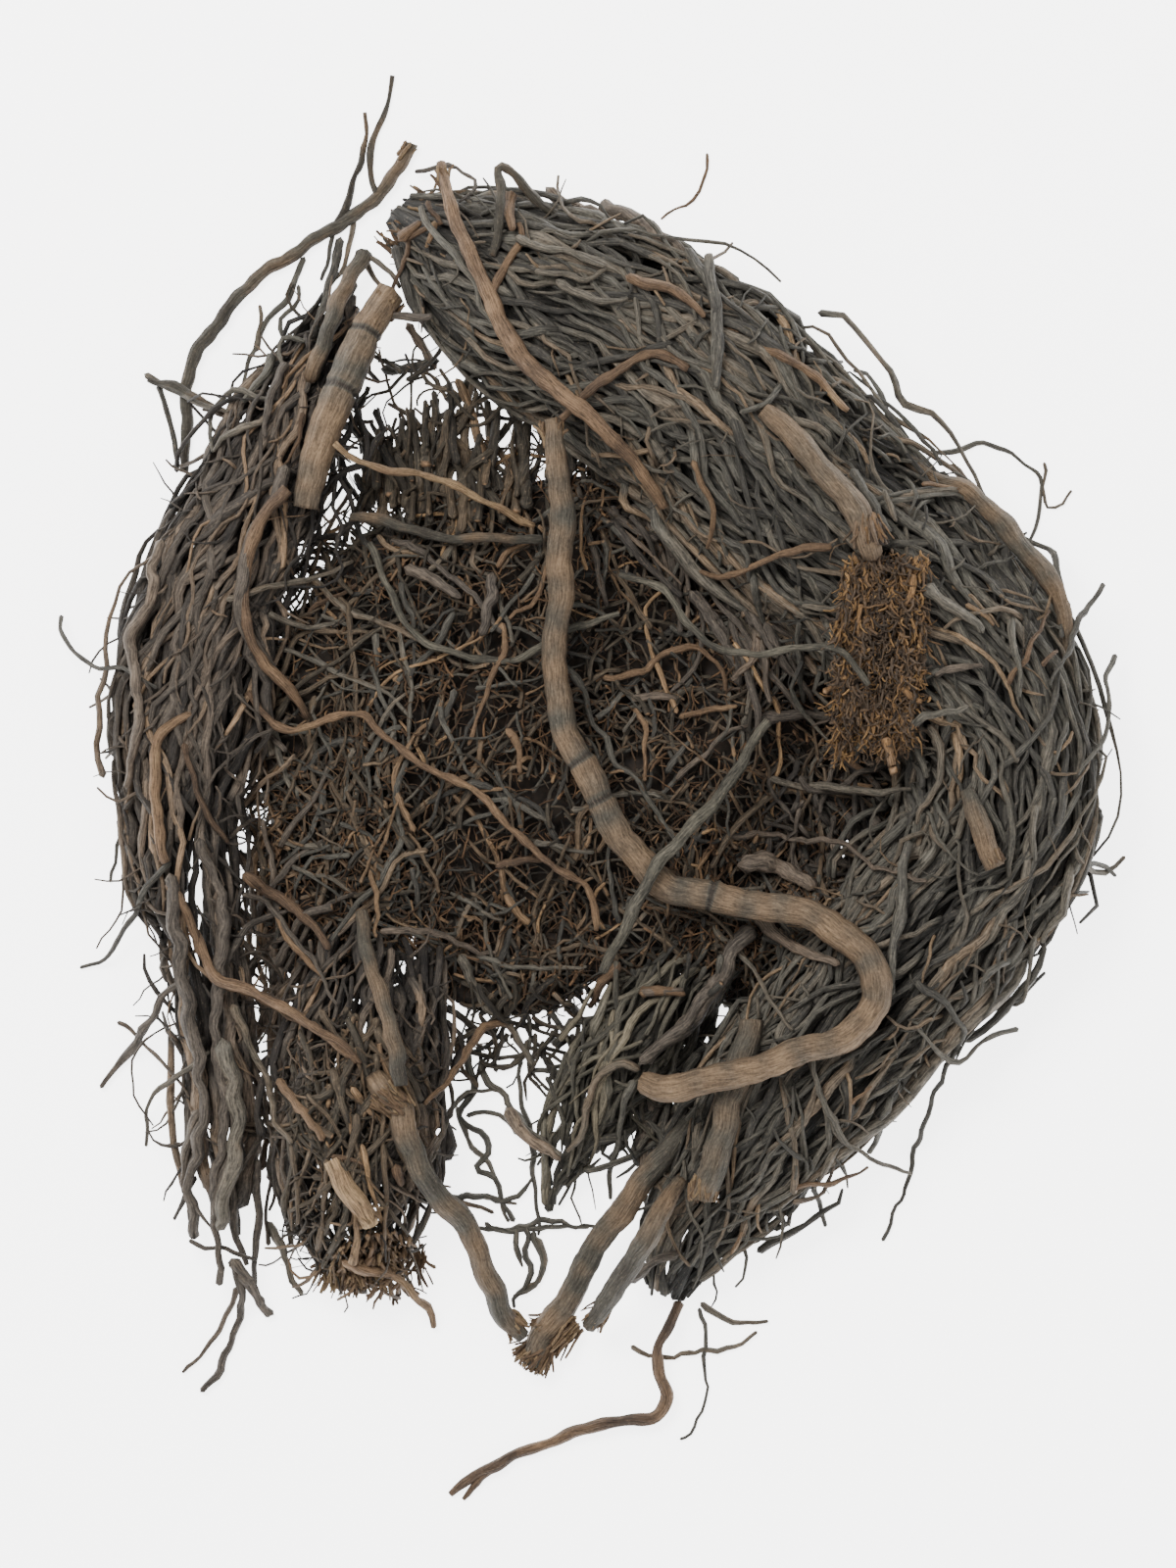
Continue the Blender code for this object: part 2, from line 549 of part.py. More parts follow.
def laid(line, trees):
    """Lifts (place, radius) pairs so that the root rests on the trees' surfaces and sags little between them."""
    last = len(line) - 1
    held = []
    for k in range(len(line)):
        place, radius = line[k]
        before, after = line[max(k - 1, 0)][0], line[min(k + 1, last)][0]
        along = (after - before).normalized()
        across = Vector((-along.y, along.x, 0.0))
        tops = []
        for step in range(-LAY_SAMPLES, LAY_SAMPLES + 1):
            other = after if step > 0 else before
            middle = place.lerp(other, abs(step) / LAY_SAMPLES)
            for side in (-1.1, -0.5, 0.0, 0.5, 1.1):
                tops.append(top_over(trees, middle + across * (side * radius)))
        tops.append(top_over(trees, place - along * (radius if k == 0 else 0.0)))
        tops.append(top_over(trees, place + along * (radius if k == last else 0.0)))
        held.append(max(tops) + radius + (REST_GAP if max(tops) > 0.0 else 0.0))
    gaps = [(line[k + 1][0] - line[k][0]).length for k in range(last)]
    height = list(held)
    for k in range(1, last + 1):
        height[k] = max(height[k], height[k - 1] - MOST_SLOPE * gaps[k - 1])
    for k in range(last - 1, -1, -1):
        height[k] = max(height[k], height[k + 1] - MOST_SLOPE * gaps[k])
    for _ in range(6):
        level = [max(held[k], 0.5 * (height[k - 1] + height[k + 1])) for k in range(1, last)]
        height[1:last] = level
    return [place + Vector((0.0, 0.0, height[k])) for k, (place, _) in enumerate(line)]


def nearest_on(places, target):
    """The point of a line of places that is nearest to a target, looked at from above."""
    found = []
    for here, there in zip(places, places[1:]):
        run = there.xy - here.xy
        share = min(max((target.xy - here.xy).dot(run) / run.length_squared, 0.0), 1.0)
        found.append(here.lerp(there, share))
    return min(found, key=lambda point: (point.xy - target.xy).length)


def single_root(name, colour, route, trees, home, spare):
    """One root that lies on the heap, with its side branches joined to it."""
    line = smooth_route(route, max(4, round(route_length(route) / ROOT_SPACING)))
    sides = 8 if max(half for _, half in line) > STOUT else 6
    body_line = laid(line, trees)
    body = as_mesh(tube(name, body_line, [half for _, half in line], sides, home))
    for index, branch in enumerate(BRANCHES.get(name, [])):
        twig = smooth_route(branch, max(4, round(route_length(branch) / ROOT_SPACING)))
        places = laid(twig, trees)
        places[-1] = nearest_on(body_line, places[-1])
        as_mesh(tube(f"{name}_branch_{index}", places, [half for _, half in twig], 6, spare))
    if BRANCHES.get(name):
        combine(body, "UNION", spare)
    body.data.materials.clear()
    body.data.materials.append(material(f"{name}_bark", colour))
    return body


def fibre_tuft(trees, home, spare):
    """The frayed end of the right stout root: coarse fibres side by side, tied by others across them."""
    draw = random.Random(TUFT_SEED)
    line = smooth_route(TUFT, TUFT_STATIONS)
    lanes = []
    for lane in range(TUFT_LANES):
        across = 2.0 * lane / (TUFT_LANES - 1) - 1.0
        fibre = []
        for index, (here, half) in enumerate(line):
            before, after = line[max(index - 1, 0)][0], line[min(index + 1, TUFT_STATIONS - 1)][0]
            along = (after - before).normalized()
            left = Vector((-along.y, along.x, 0.0))
            jitter = along * draw.uniform(-1.0, 1.0) * FIBRE_RADIUS
            fibre.append((here + left * across * half + jitter, FIBRE_RADIUS * draw.uniform(0.8, 1.2)))
        lanes.append((laid(fibre, trees), [radius for _, radius in fibre]))
    ties = []
    for station in range(1, TUFT_STATIONS, 2):
        ties.append(([places[station] + Vector((0.0, 0.0, 0.4 * FIBRE_RADIUS)) for places, _ in lanes],
                     [FIBRE_RADIUS] * TUFT_LANES))
    for index, (places, radii) in enumerate(lanes[1:] + ties):
        as_mesh(tube(f"fibre_{index}", places, radii, 4, spare))
    tuft = as_mesh(tube("fibre_tuft", *lanes[0], 4, home))
    for index in range(TUFT_LOOSE_FIBRES):
        lane, start = draw.randrange(TUFT_LANES), draw.randrange(TUFT_STATIONS - 3)
        drift = draw.choice((-1, 0, 1))
        places = []
        for step in range(4):
            beside = min(max(lane + drift * (step // 2), 0), TUFT_LANES - 1)
            raised = FIBRE_RADIUS * (1.1 + 0.3 * step)
            places.append(lanes[beside][0][start + step] + Vector((0.0, 0.0, raised)))
        as_mesh(tube(f"loose_fibre_{index}", places, [0.8 * FIBRE_RADIUS] * 4, 4, spare))
    combine(tuft, "UNION", spare)
    drop_scraps(tuft)
    tuft.data.materials.clear()
    tuft.data.materials.append(material("fibre_tuft", RUST))
    return tuft


def main():
    for obj in list(bpy.data.objects):
        bpy.data.objects.remove(obj)
    scene = bpy.context.scene.collection
    home = bpy.data.collections.new("banyan_root")
    spare = bpy.data.collections.new("cutters")
    scene.children.link(home)
    scene.children.link(spare)
    made, rooms = [], []
    for name, (route, flatness, count, radius, strays, seed, colour) in BUNCHES.items():
        bunch = Bunch(route, flatness)
        rooms.append(bunch)
        made.append(bunch_of_roots(name, colour, bunch, count, radius, strays, seed, home, spare))
    made.append(rootlet_mat(rooms, home, spare))
    trees = [tree_of(obj) for obj in made]
    trees.append(tree_of(fibre_tuft(trees, home, spare)))
    for name, colour, route in SINGLE_ROOTS:
        trees.append(tree_of(single_root(name, colour, route, trees, home, spare)))


main()
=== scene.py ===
# %% [markdown]
# # A heap of dried banyan roots
# Aerial roots are cut, combed into hanks and dried, and the hanks are bent round a mat of their own
# fine rootlets. Almost everything in this picture is one shape, a thin crooked tube, a few thousand
# times over. So the lesson is about sweeping one small outline along many lines, about rules that lay
# those lines as real roots lie, and about one bark finish that changes from root to root.
#
# The frame comes first. It holds the plain solids that the physics uses, in metres, and each piece
# made here takes the place of one of them.

# %% The frame
import math
from collections import namedtuple

import bmesh
import bpy
import numpy as np
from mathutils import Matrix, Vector, noise
from mathutils.bvhtree import BVHTree


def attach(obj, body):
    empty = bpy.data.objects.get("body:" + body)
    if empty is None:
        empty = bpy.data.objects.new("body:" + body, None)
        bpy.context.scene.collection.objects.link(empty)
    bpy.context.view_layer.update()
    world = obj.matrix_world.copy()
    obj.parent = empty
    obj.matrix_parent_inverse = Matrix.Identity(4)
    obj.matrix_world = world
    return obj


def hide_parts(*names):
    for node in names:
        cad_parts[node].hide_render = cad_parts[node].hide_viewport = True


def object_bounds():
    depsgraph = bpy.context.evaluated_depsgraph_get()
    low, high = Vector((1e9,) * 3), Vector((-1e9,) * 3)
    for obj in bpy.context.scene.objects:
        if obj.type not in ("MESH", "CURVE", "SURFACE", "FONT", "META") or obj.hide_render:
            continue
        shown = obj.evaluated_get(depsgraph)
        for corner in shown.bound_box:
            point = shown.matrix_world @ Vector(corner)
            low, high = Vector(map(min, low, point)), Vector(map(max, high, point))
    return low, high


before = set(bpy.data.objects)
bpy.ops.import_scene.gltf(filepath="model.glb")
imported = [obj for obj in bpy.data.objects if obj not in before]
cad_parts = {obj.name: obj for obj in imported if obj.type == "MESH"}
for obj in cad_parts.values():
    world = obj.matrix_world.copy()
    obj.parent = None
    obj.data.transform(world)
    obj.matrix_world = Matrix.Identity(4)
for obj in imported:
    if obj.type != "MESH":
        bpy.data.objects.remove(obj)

cad_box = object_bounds()


def add_object(name, data):
    """An object in the scene."""
    made = bpy.data.objects.new(name, data)
    bpy.context.scene.collection.objects.link(made)
    return made


print("solids in the frame:", len(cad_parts))

# %% [markdown]
# Routes and outlines are read from a photograph that looks straight down, so they are written
# in its pixels, as across, down and half width. One pixel is 0.2 mm on the real thing, because its
# stoutest root is 35 pixels wide and such roots are 7 mm thick.

# %% From pixels to metres
MM = 0.001
PIXEL = 0.2 * MM
PHOTO_SIZE = (1200, 1600)
PHOTO_CENTRE = (600.4, 802.85)
PRESSED = 0.5 * MM  # how far a hank's section reaches under the floor, where its roots lie flat


def mm(*values):
    return tuple(value * MM for value in values)


def metres(route):
    """Rows of across, down and half width as rows of x, y and half width."""
    rows = np.array(route, dtype=float)
    return np.column_stack([
        (rows[:, 0] - PHOTO_CENTRE[0]) * PIXEL,
        (PHOTO_CENTRE[1] - rows[:, 1]) * PIXEL,
        rows[:, 2] * PIXEL,
    ])


def smooth(rows, spacing):
    """Evenly spaced rows of the smooth curve through rows of x, y and half width."""
    known = np.vstack([rows[:1], rows, rows[-1:]])
    t = np.linspace(0.0, 1.0, 12, endpoint=False)[:, None]
    fine = []
    for a, b, c, d in zip(known, known[1:], known[2:], known[3:]):
        fine.append(b + 0.5 * t * ((c - a) + t * ((2 * a - 5 * b + 4 * c - d) + t * (3 * (b - c) + d - a))))
    fine = np.vstack([*fine, rows[-1:]])
    run = np.concatenate([[0.0], np.cumsum(np.linalg.norm(np.diff(fine[:, :2], axis=0), axis=1))])
    at = np.linspace(0.0, run[-1], max(4, round(run[-1] / spacing) + 1))
    return np.column_stack([np.interp(at, run, column) for column in fine.T])


print("photo covers", [round(side * PIXEL / MM) for side in PHOTO_SIZE], "mm")

# %% [markdown]
# The camera looks straight down, as in the photograph, from far off through a long lens, so that the
# top of the heap isn't drawn larger than its foot. The floor is plain and pale. One wide lamp up and
# to the left gives each root a soft bright side, and an even sky fills the rest, so that gaps
# between the roots go dark by themselves. Roots deep in the heap are also painted darker, as painted
# shade.

# %% Camera, floor and light
CAMERA_HEIGHT = 2.0
SENSOR = 36.0
SHARP_HEIGHT = 0.02  # where a pixel of the picture is PIXEL wide
WHITE = (1.0, 1.0, 1.0, 1.0)
SKY_STRENGTH = 0.95
stage_centre = ((PHOTO_SIZE[0] / 2 - PHOTO_CENTRE[0]) * PIXEL, (PHOTO_CENTRE[1] - PHOTO_SIZE[1] / 2) * PIXEL)
camera_data = bpy.data.cameras.new("camera")
camera_data.sensor_width = SENSOR
camera_data.lens = SENSOR * (CAMERA_HEIGHT - SHARP_HEIGHT) / (PHOTO_SIZE[1] * PIXEL)
camera = add_object("camera", camera_data)
camera.location = (*stage_centre, CAMERA_HEIGHT)
bpy.context.scene.camera = camera


def lamp(name, place, size, power, colour):
    """A square lamp that faces the middle of the heap."""
    data = bpy.data.lights.new(name, "AREA")
    data.size = size
    data.energy = power
    data.color = colour
    made = add_object(name, data)
    made.location = place
    made.rotation_euler = (-Vector(place)).to_track_quat("-Z", "Y").to_euler()


lamp("key", (-0.45, 0.55, 1.1), 0.6, 25.0, (1.0, 0.98, 0.95))
lamp("fill", (0.8, -0.5, 0.9), 1.0, 4.0, (0.95, 0.97, 1.0))
world = bpy.data.worlds.new("sky")
world.use_nodes = True
sky = world.node_tree.nodes["Background"]
sky.inputs["Color"].default_value = WHITE
sky.inputs["Strength"].default_value = SKY_STRENGTH
bpy.context.scene.world = world
print("lens", round(camera_data.lens), "mm")

# %% [markdown]
# Shader maths is easier to read as sums than as boxes and wires. `Wire` wraps a socket, and an
# expression on wires adds the Math nodes. Every other node comes from `node`, which sets the node's
# own settings first and then its sockets.


# %% A socket that can be added and multiplied
class Wire:
    def __init__(self, tree, socket=None):
        self.tree = tree
        self.socket = socket

    def node(self, kind, settings=None, inputs=None, output=0):
        made = self.tree.nodes.new(kind)
        for key, value in (settings or {}).items():
            if key == "stops":
                self.set_stops(made.color_ramp, value)
            else:
                setattr(made, key, value)
        for key, value in (inputs or {}).items():
            if isinstance(value, Wire):
                self.tree.links.new(value.socket, made.inputs[key])
            else:
                made.inputs[key].default_value = value
        return Wire(self.tree, made.outputs[output])

    @staticmethod
    def set_stops(ramp, stops):
        while len(ramp.elements) < len(stops):
            ramp.elements.new(1.0)
        for element, (place, colour) in zip(ramp.elements, stops):
            element.position = place
            element.color = (*colour, 1.0)

    def maths(self, operation, first, second):
        return self.node("ShaderNodeMath", {"operation": operation}, {0: first, 1: second})

    def __add__(self, other):
        return self.maths("ADD", self, other)

    def __sub__(self, other):
        return self.maths("SUBTRACT", self, other)

    def __rsub__(self, other):
        return self.maths("SUBTRACT", other, self)

    def __mul__(self, other):
        return self.maths("MULTIPLY", self, other)

    __radd__ = __add__
    __rmul__ = __mul__

    def between(self, low, high):
        """0 under low, 1 over high and even in between."""
        return self.node("ShaderNodeMapRange", None, {0: self, 1: low, 2: high})


# %% [markdown]
# Dried bark is matt, and finely wrinkled along the root, because the root shrank across itself. No two
# roots are quite one colour. The material reads three numbers that each root carries: its tone, which
# picks a colour from a range of real ones and is lowered as painted shade where a root lies deep, its
# own seed, so that no two have the same wrinkles, and where it was cut, which shows pale wood. The
# wrinkles are a noise that is stretched along the root, and it darkens the colour in their grooves as
# painted shade.
# It reads a map of how far along and how far round a point is, bent into a circle so that it has
# no seam.


# %% Bark
GRAIN_SEED, PATCH_SEED = 91.0, 57.0
PATCH_SHORT = 190.0
CRUMB_SCALE = 1700.0
DUST = (0.24, 0.18, 0.12, 1.0)
CUT_WOOD = (0.33, 0.2, 0.11, 1.0)


def new_finish(name):
    """A material with nodes, and its shader."""
    made = bpy.data.materials.new(name)
    made.use_nodes = True
    return made, made.node_tree.nodes["Principled BSDF"]


def bark(name, stops, wrinkle=1.0, patch=0.2, gloss=0.62, bump=0.5, short=110.0, deep=0.85):
    """A finish for roots: stops are (tone, colour), patch is how far the tone wanders on one root, short
    is how short its wrinkles are and deep how dark the painted shade in their grooves is."""
    made, shader = new_finish(name)
    tree = made.node_tree
    base = Wire(tree)
    tone = base.node("ShaderNodeAttribute", {"attribute_name": "tone"}, output=2)
    seed = base.node("ShaderNodeAttribute", {"attribute_name": "seed"}, output=2)
    cut = base.node("ShaderNodeAttribute", {"attribute_name": "cut"}, output=2)
    along = base.node("ShaderNodeSeparateXYZ", None, {0: base.node("ShaderNodeUVMap", {"uv_map": "root"})})
    around = Wire(tree, along.socket.node.outputs[1]) * math.tau
    ring_x = base.node("ShaderNodeMath", {"operation": "COSINE"}, {0: around})
    ring_y = base.node("ShaderNodeMath", {"operation": "SINE"}, {0: around})
    grain_place = base.node("ShaderNodeCombineXYZ", None, {
        0: along * short + seed * GRAIN_SEED, 1: ring_x, 2: ring_y})
    ridges = base.node("ShaderNodeTexNoise", None, {
        "Vector": grain_place, "Scale": 3.4 * wrinkle, "Detail": 3.0, "Roughness": 0.6, "Distortion": 0.3})
    spot_place = base.node("ShaderNodeCombineXYZ", None, {
        0: along * PATCH_SHORT + seed * PATCH_SEED, 1: ring_x * 0.7, 2: ring_y * 0.7})
    patches = base.node("ShaderNodeTexNoise", None, {
        "Vector": spot_place, "Scale": 0.55, "Detail": 2.0, "Roughness": 0.6})
    crumbs = base.node("ShaderNodeTexNoise", None, {
        "Vector": base.node("ShaderNodeTexCoord", output=3), "Scale": CRUMB_SCALE, "Detail": 2.0,
        "Roughness": 0.65})
    shade = tone + (patches - 0.5) * (2.0 * patch)
    skin = base.node("ShaderNodeValToRGB", {"stops": stops}, {0: shade})
    # Painted shade: the colour is darkened where the relief is low, in the grooves of the wrinkles and in
    # pits
    depth = ridges.between(0.36, 0.62) * deep + crumbs.between(0.35, 0.6) * 0.25 + (0.6 - 0.45 * deep)
    grey = base.node("ShaderNodeCombineColor", None, {0: depth, 1: depth, 2: depth})
    skin_with_groove_shade = base.node("ShaderNodeMix", {"data_type": "RGBA", "blend_type": "MULTIPLY"}, {
        0: 1.0, 6: skin, 7: grey}, output=2)
    dust = crumbs.between(0.56, 0.7) * ridges.between(0.5, 0.6) * 0.35
    dusty = base.node("ShaderNodeMix", {"data_type": "RGBA"}, {0: dust, 6: skin_with_groove_shade, 7: DUST}, output=2)
    ended = base.node("ShaderNodeMix", {"data_type": "RGBA"}, {0: cut, 6: dusty, 7: CUT_WOOD}, output=2)
    tree.links.new(ended.socket, shader.inputs["Base Color"])
    rough = (1.0 - ridges.between(0.4, 0.7)) * 0.18 + gloss
    tree.links.new(rough.socket, shader.inputs["Roughness"])
    relief = base.node("ShaderNodeBump", None, {
        "Strength": 1.0, "Distance": bump * MM, "Height": ridges + crumbs * 0.3})
    tree.links.new(relief.socket, shader.inputs["Normal"])
    shader.inputs["Specular IOR Level"].default_value = 0.35
    return made


grey_bark = bark("grey_bark", [
    (0.0, (0.013, 0.012, 0.01)), (0.3, (0.045, 0.041, 0.034)), (0.52, (0.083, 0.077, 0.062)),
    (0.68, (0.108, 0.091, 0.068)), (0.82, (0.145, 0.104, 0.067)), (1.0, (0.26, 0.175, 0.1))])
brown_bark = bark("brown_bark", [
    (0.0, (0.016, 0.013, 0.011)), (0.3, (0.045, 0.037, 0.03)), (0.55, (0.078, 0.063, 0.049)),
    (0.75, (0.12, 0.09, 0.065)), (0.9, (0.18, 0.125, 0.08)), (1.0, (0.26, 0.17, 0.1))])
green_bark = bark("green_bark", [
    (0.0, (0.02, 0.018, 0.014)), (0.4, (0.064, 0.058, 0.043)), (0.75, (0.114, 0.102, 0.075)),
    (1.0, (0.18, 0.15, 0.10))])
rootlet_bark = bark("rootlet_bark", [
    (0.0, (0.014, 0.011, 0.008)), (0.35, (0.045, 0.036, 0.024)), (0.6, (0.092, 0.065, 0.04)),
    (0.8, (0.17, 0.105, 0.056)), (1.0, (0.32, 0.2, 0.1))], wrinkle=0.8)
rust_bark = bark("rust_bark", [
    (0.0, (0.03, 0.016, 0.008)), (0.4, (0.09, 0.05, 0.025)), (0.75, (0.19, 0.105, 0.05)),
    (1.0, (0.33, 0.2, 0.1))], wrinkle=0.8)
fray_bark = bark("fray_bark", [
    (0.0, (0.025, 0.017, 0.012)), (0.35, (0.085, 0.06, 0.041)), (0.65, (0.15, 0.1, 0.062)),
    (0.85, (0.24, 0.13, 0.052)), (1.0, (0.38, 0.22, 0.09))], wrinkle=1.2, patch=0.3)
stout_bark = bark("stout_bark", [
    (0.0, (0.028, 0.021, 0.015)), (0.3, (0.064, 0.057, 0.043)), (0.6, (0.15, 0.1, 0.059)),
    (0.8, (0.22, 0.145, 0.082)), (1.0, (0.3, 0.2, 0.115))], wrinkle=2.2, patch=0.3, bump=0.6, short=45.0,
    deep=0.55)
tan_bark = bark("tan_bark", [
    (0.0, (0.035, 0.022, 0.014)), (0.35, (0.095, 0.058, 0.034)), (0.65, (0.18, 0.11, 0.06)),
    (1.0, (0.33, 0.225, 0.12))], wrinkle=1.8, patch=0.3, bump=0.5, short=50.0)
print("finishes:", len(bpy.data.materials))

# %% [markdown]
# A root is a line with a radius at each point. Blender sweeps an outline along a curve in one go, so
# hundreds of roots can be splines of one curve object, which is then made a mesh. The outline isn't
# round: shrunken roots are grooved, and a tilt that changes slowly along the line winds the grooves.
# The curve's own caps would be loose, so each line gets a ring the size of a pinprick at both ends,
# and welding that ring closes the tube.
#
# The sweep gives its points root by root, so the numbers that the bark reads can be handed out by
# repeating them. A second map gives each root its own narrow cell of the texture, with no overlaps.


# %% Sweeping many roots at once
Root = namedtuple("Root", "line radii tone cut_start cut_end twist")
PINPRICK = 0.004 * MM
SEED = 504
CAPPED, POINTED = 0.04, 0.8  # how far past its line a cut and a whole end go, in radii
CELL_MARGIN = 0.06
CELL_STRETCH = 8.0  # how many times longer than wide a root's cell of the texture is
rng = np.random.default_rng(SEED)


def root(line, radii, tone, cut_start=0.0, cut_end=0.0, twist=60.0):
    """A root that doesn't go through the floor."""
    line, radii = np.array(line, dtype=float), np.asarray(radii, dtype=float)
    line[:, 2] = np.maximum(line[:, 2], radii)
    return Root(line, radii, tone, cut_start, cut_end, twist)


def outline(name, sides, groove):
    """A closed outline of radius 1, cut in by groove at places that follow no order."""
    data = bpy.data.curves.new(name, "CURVE")
    data.dimensions = "2D"
    ring = data.splines.new("POLY")
    ring.points.add(sides - 1)
    for index, point in enumerate(ring.points):
        turn = -math.tau * index / sides
        out = 1.0 - groove * (0.5 + 0.5 * math.sin(2.9 * index + 0.7 * math.sin(5.3 * index)))
        point.co = (out * math.cos(turn), out * math.sin(turn), 0.0, 1.0)
    ring.use_cyclic_u = True
    return add_object(name, data)


def closed(item):
    """A root's line and radii with a pinprick ring at each end, and with a flat face where it was cut."""
    head = item.line[0] - item.line[1]
    tail = item.line[-1] - item.line[-2]
    head /= np.linalg.norm(head)
    tail /= np.linalg.norm(tail)
    head_out = item.radii[0] * (CAPPED if item.cut_start else POINTED)
    tail_out = item.radii[-1] * (CAPPED if item.cut_end else POINTED)
    line = np.vstack([item.line[0] + head * head_out, item.line, item.line[-1] + tail * tail_out])
    return line, np.concatenate([[PINPRICK], item.radii, [PINPRICK]])


def sweep(name, items, sides, groove, material, nodes):
    """One piece made of many roots, which stands for the given nodes of the frame."""
    ring = outline(name + "_outline", sides, groove)
    data = bpy.data.curves.new(name + "_lines", "CURVE")
    data.dimensions = "3D"
    data.bevel_mode = "OBJECT"
    data.bevel_object = ring
    data.use_fill_caps = False
    counts, lengths = [], []
    for item in items:
        line, radii = closed(item)
        run = np.concatenate([[0.0], np.cumsum(np.linalg.norm(np.diff(line, axis=0), axis=1))])
        spline = data.splines.new("POLY")
        spline.points.add(len(line) - 1)
        spline.points.foreach_set("co", np.column_stack([line, np.ones(len(line))]).ravel())
        spline.points.foreach_set("radius", radii)
        spline.points.foreach_set("tilt", rng.uniform(0.0, math.tau) + item.twist * run)
        counts.append(len(line))
        lengths.append(run[-1])
    lines = add_object(name + "_lines", data)
    mesh = bpy.data.meshes.new_from_object(lines.evaluated_get(bpy.context.evaluated_depsgraph_get()))
    bpy.data.objects.remove(lines)
    bpy.data.objects.remove(ring)
    counts, lengths = np.array(counts), np.array(lengths)
    label_points(mesh, items, counts, sides)
    map_roots(mesh, counts, lengths, sides)
    weld_tips(mesh, counts, sides)
    mesh.name = name
    mesh.materials.clear()
    mesh.materials.append(material)
    piece = add_object(name, mesh)
    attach(piece, "root")
    if nodes:
        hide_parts(*nodes)
    mesh.calc_loop_triangles()
    print(name, "roots", len(items), "triangles", len(mesh.loop_triangles))


def tone_along(item):
    """A root's tone at each ring of its tube, from one number or from one for each point."""
    inner = np.broadcast_to(item.tone, len(item.line))
    return np.concatenate([inner[:1], inner, inner[-1:]])


def label_points(mesh, items, counts, sides):
    """Gives every point its root's tone and seed, and marks the points of cut ends."""
    tones = np.concatenate([np.repeat(tone_along(item), sides) for item in items])
    seeds = np.repeat(rng.random(len(items)), counts * sides)
    cuts = np.zeros(len(tones))
    ends = np.cumsum(counts * sides)
    for item, start, end in zip(items, ends - counts * sides, ends):
        cuts[start:start + sides] = item.cut_start
        cuts[end - sides:end] = item.cut_end
    for key, values in (("tone", tones), ("seed", seeds), ("cut", cuts)):
        mesh.attributes.new(key, "FLOAT", "POINT").data.foreach_set("value", values)


def map_roots(mesh, counts, lengths, sides):
    """The map that the bark reads, in metres along and turns round, and the map for baking."""
    loops = (counts - 1) * sides * 4
    owner = np.repeat(np.arange(len(counts)), loops)
    flat = np.zeros(len(mesh.loops) * 2)
    mesh.uv_layers[0].data.foreach_get("uv", flat)
    share, around = flat.reshape(-1, 2).T
    mesh.uv_layers[0].name = "root"
    mesh.uv_layers["root"].data.foreach_set("uv", np.column_stack([share * lengths[owner], around]).ravel())
    columns = math.ceil(math.sqrt(len(counts) * CELL_STRETCH))
    rows = math.ceil(len(counts) / columns)
    bake = mesh.uv_layers.new(name="OFBake")
    across = (owner % columns + CELL_MARGIN + (1.0 - 2.0 * CELL_MARGIN) * around) / columns
    up = (owner // columns + CELL_MARGIN + (1.0 - 2.0 * CELL_MARGIN) * share) / rows
    bake.data.foreach_set("uv", np.column_stack([across, up]).ravel())


def weld_tips(mesh, counts, sides):
    """Closes every tube, by welding the pinprick rings at its ends."""
    shape = bmesh.new()
    shape.from_mesh(mesh)
    shape.verts.ensure_lookup_table()
    ends = np.cumsum(counts * sides)
    tips = []
    for start, end in zip(ends - counts * sides, ends):
        tips += shape.verts[int(start):int(start) + sides]
        tips += shape.verts[int(end) - sides:int(end)]
    bmesh.ops.remove_doubles(shape, verts=tips, dist=4.0 * PINPRICK)
    shape.to_mesh(mesh)
    shape.free()


print("ready to sweep")

# %% [markdown]
# A hank is a flattened tube of room along a middle line. A root in it follows that line, at an angle
# round the section and some way out from the middle, and wanders from both. Roots that were combed
# together keep together, so they are laid in small locks: the roots of a lock share most of their
# wandering. The ends of many dive under their neighbours, and a few stand off.

# %% The room of a hank
MAIN_HANK = [
    (412, 222, 38), (468, 258, 76), (540, 302, 103), (632, 347, 116), (725, 412, 121), (815, 503, 116),
    (922, 606, 112), (1012, 724, 106), (1016, 850, 104), (942, 957, 99), (846, 1068, 96), (765, 1170, 80),
    (712, 1250, 57), (688, 1312, 32),
]
SIDE_HANK = [
    (352, 305, 18), (326, 365, 38), (288, 440, 60), (243, 530, 72), (204, 630, 75), (186, 740, 70),
    (188, 850, 62), (202, 960, 54), (217, 1070, 46), (222, 1180, 42), (232, 1285, 28),
]
LOWER_HANK = [
    (388, 968, 66), (372, 1040, 82), (362, 1120, 84), (358, 1200, 82), (364, 1262, 64), (370, 1302, 40),
]
TASSEL = [
    (724, 962, 26), (692, 1000, 40), (650, 1056, 44), (612, 1115, 40), (584, 1170, 30), (566, 1222, 14),
]
BEYOND = 5 * MM
FRAYED = 4 * MM


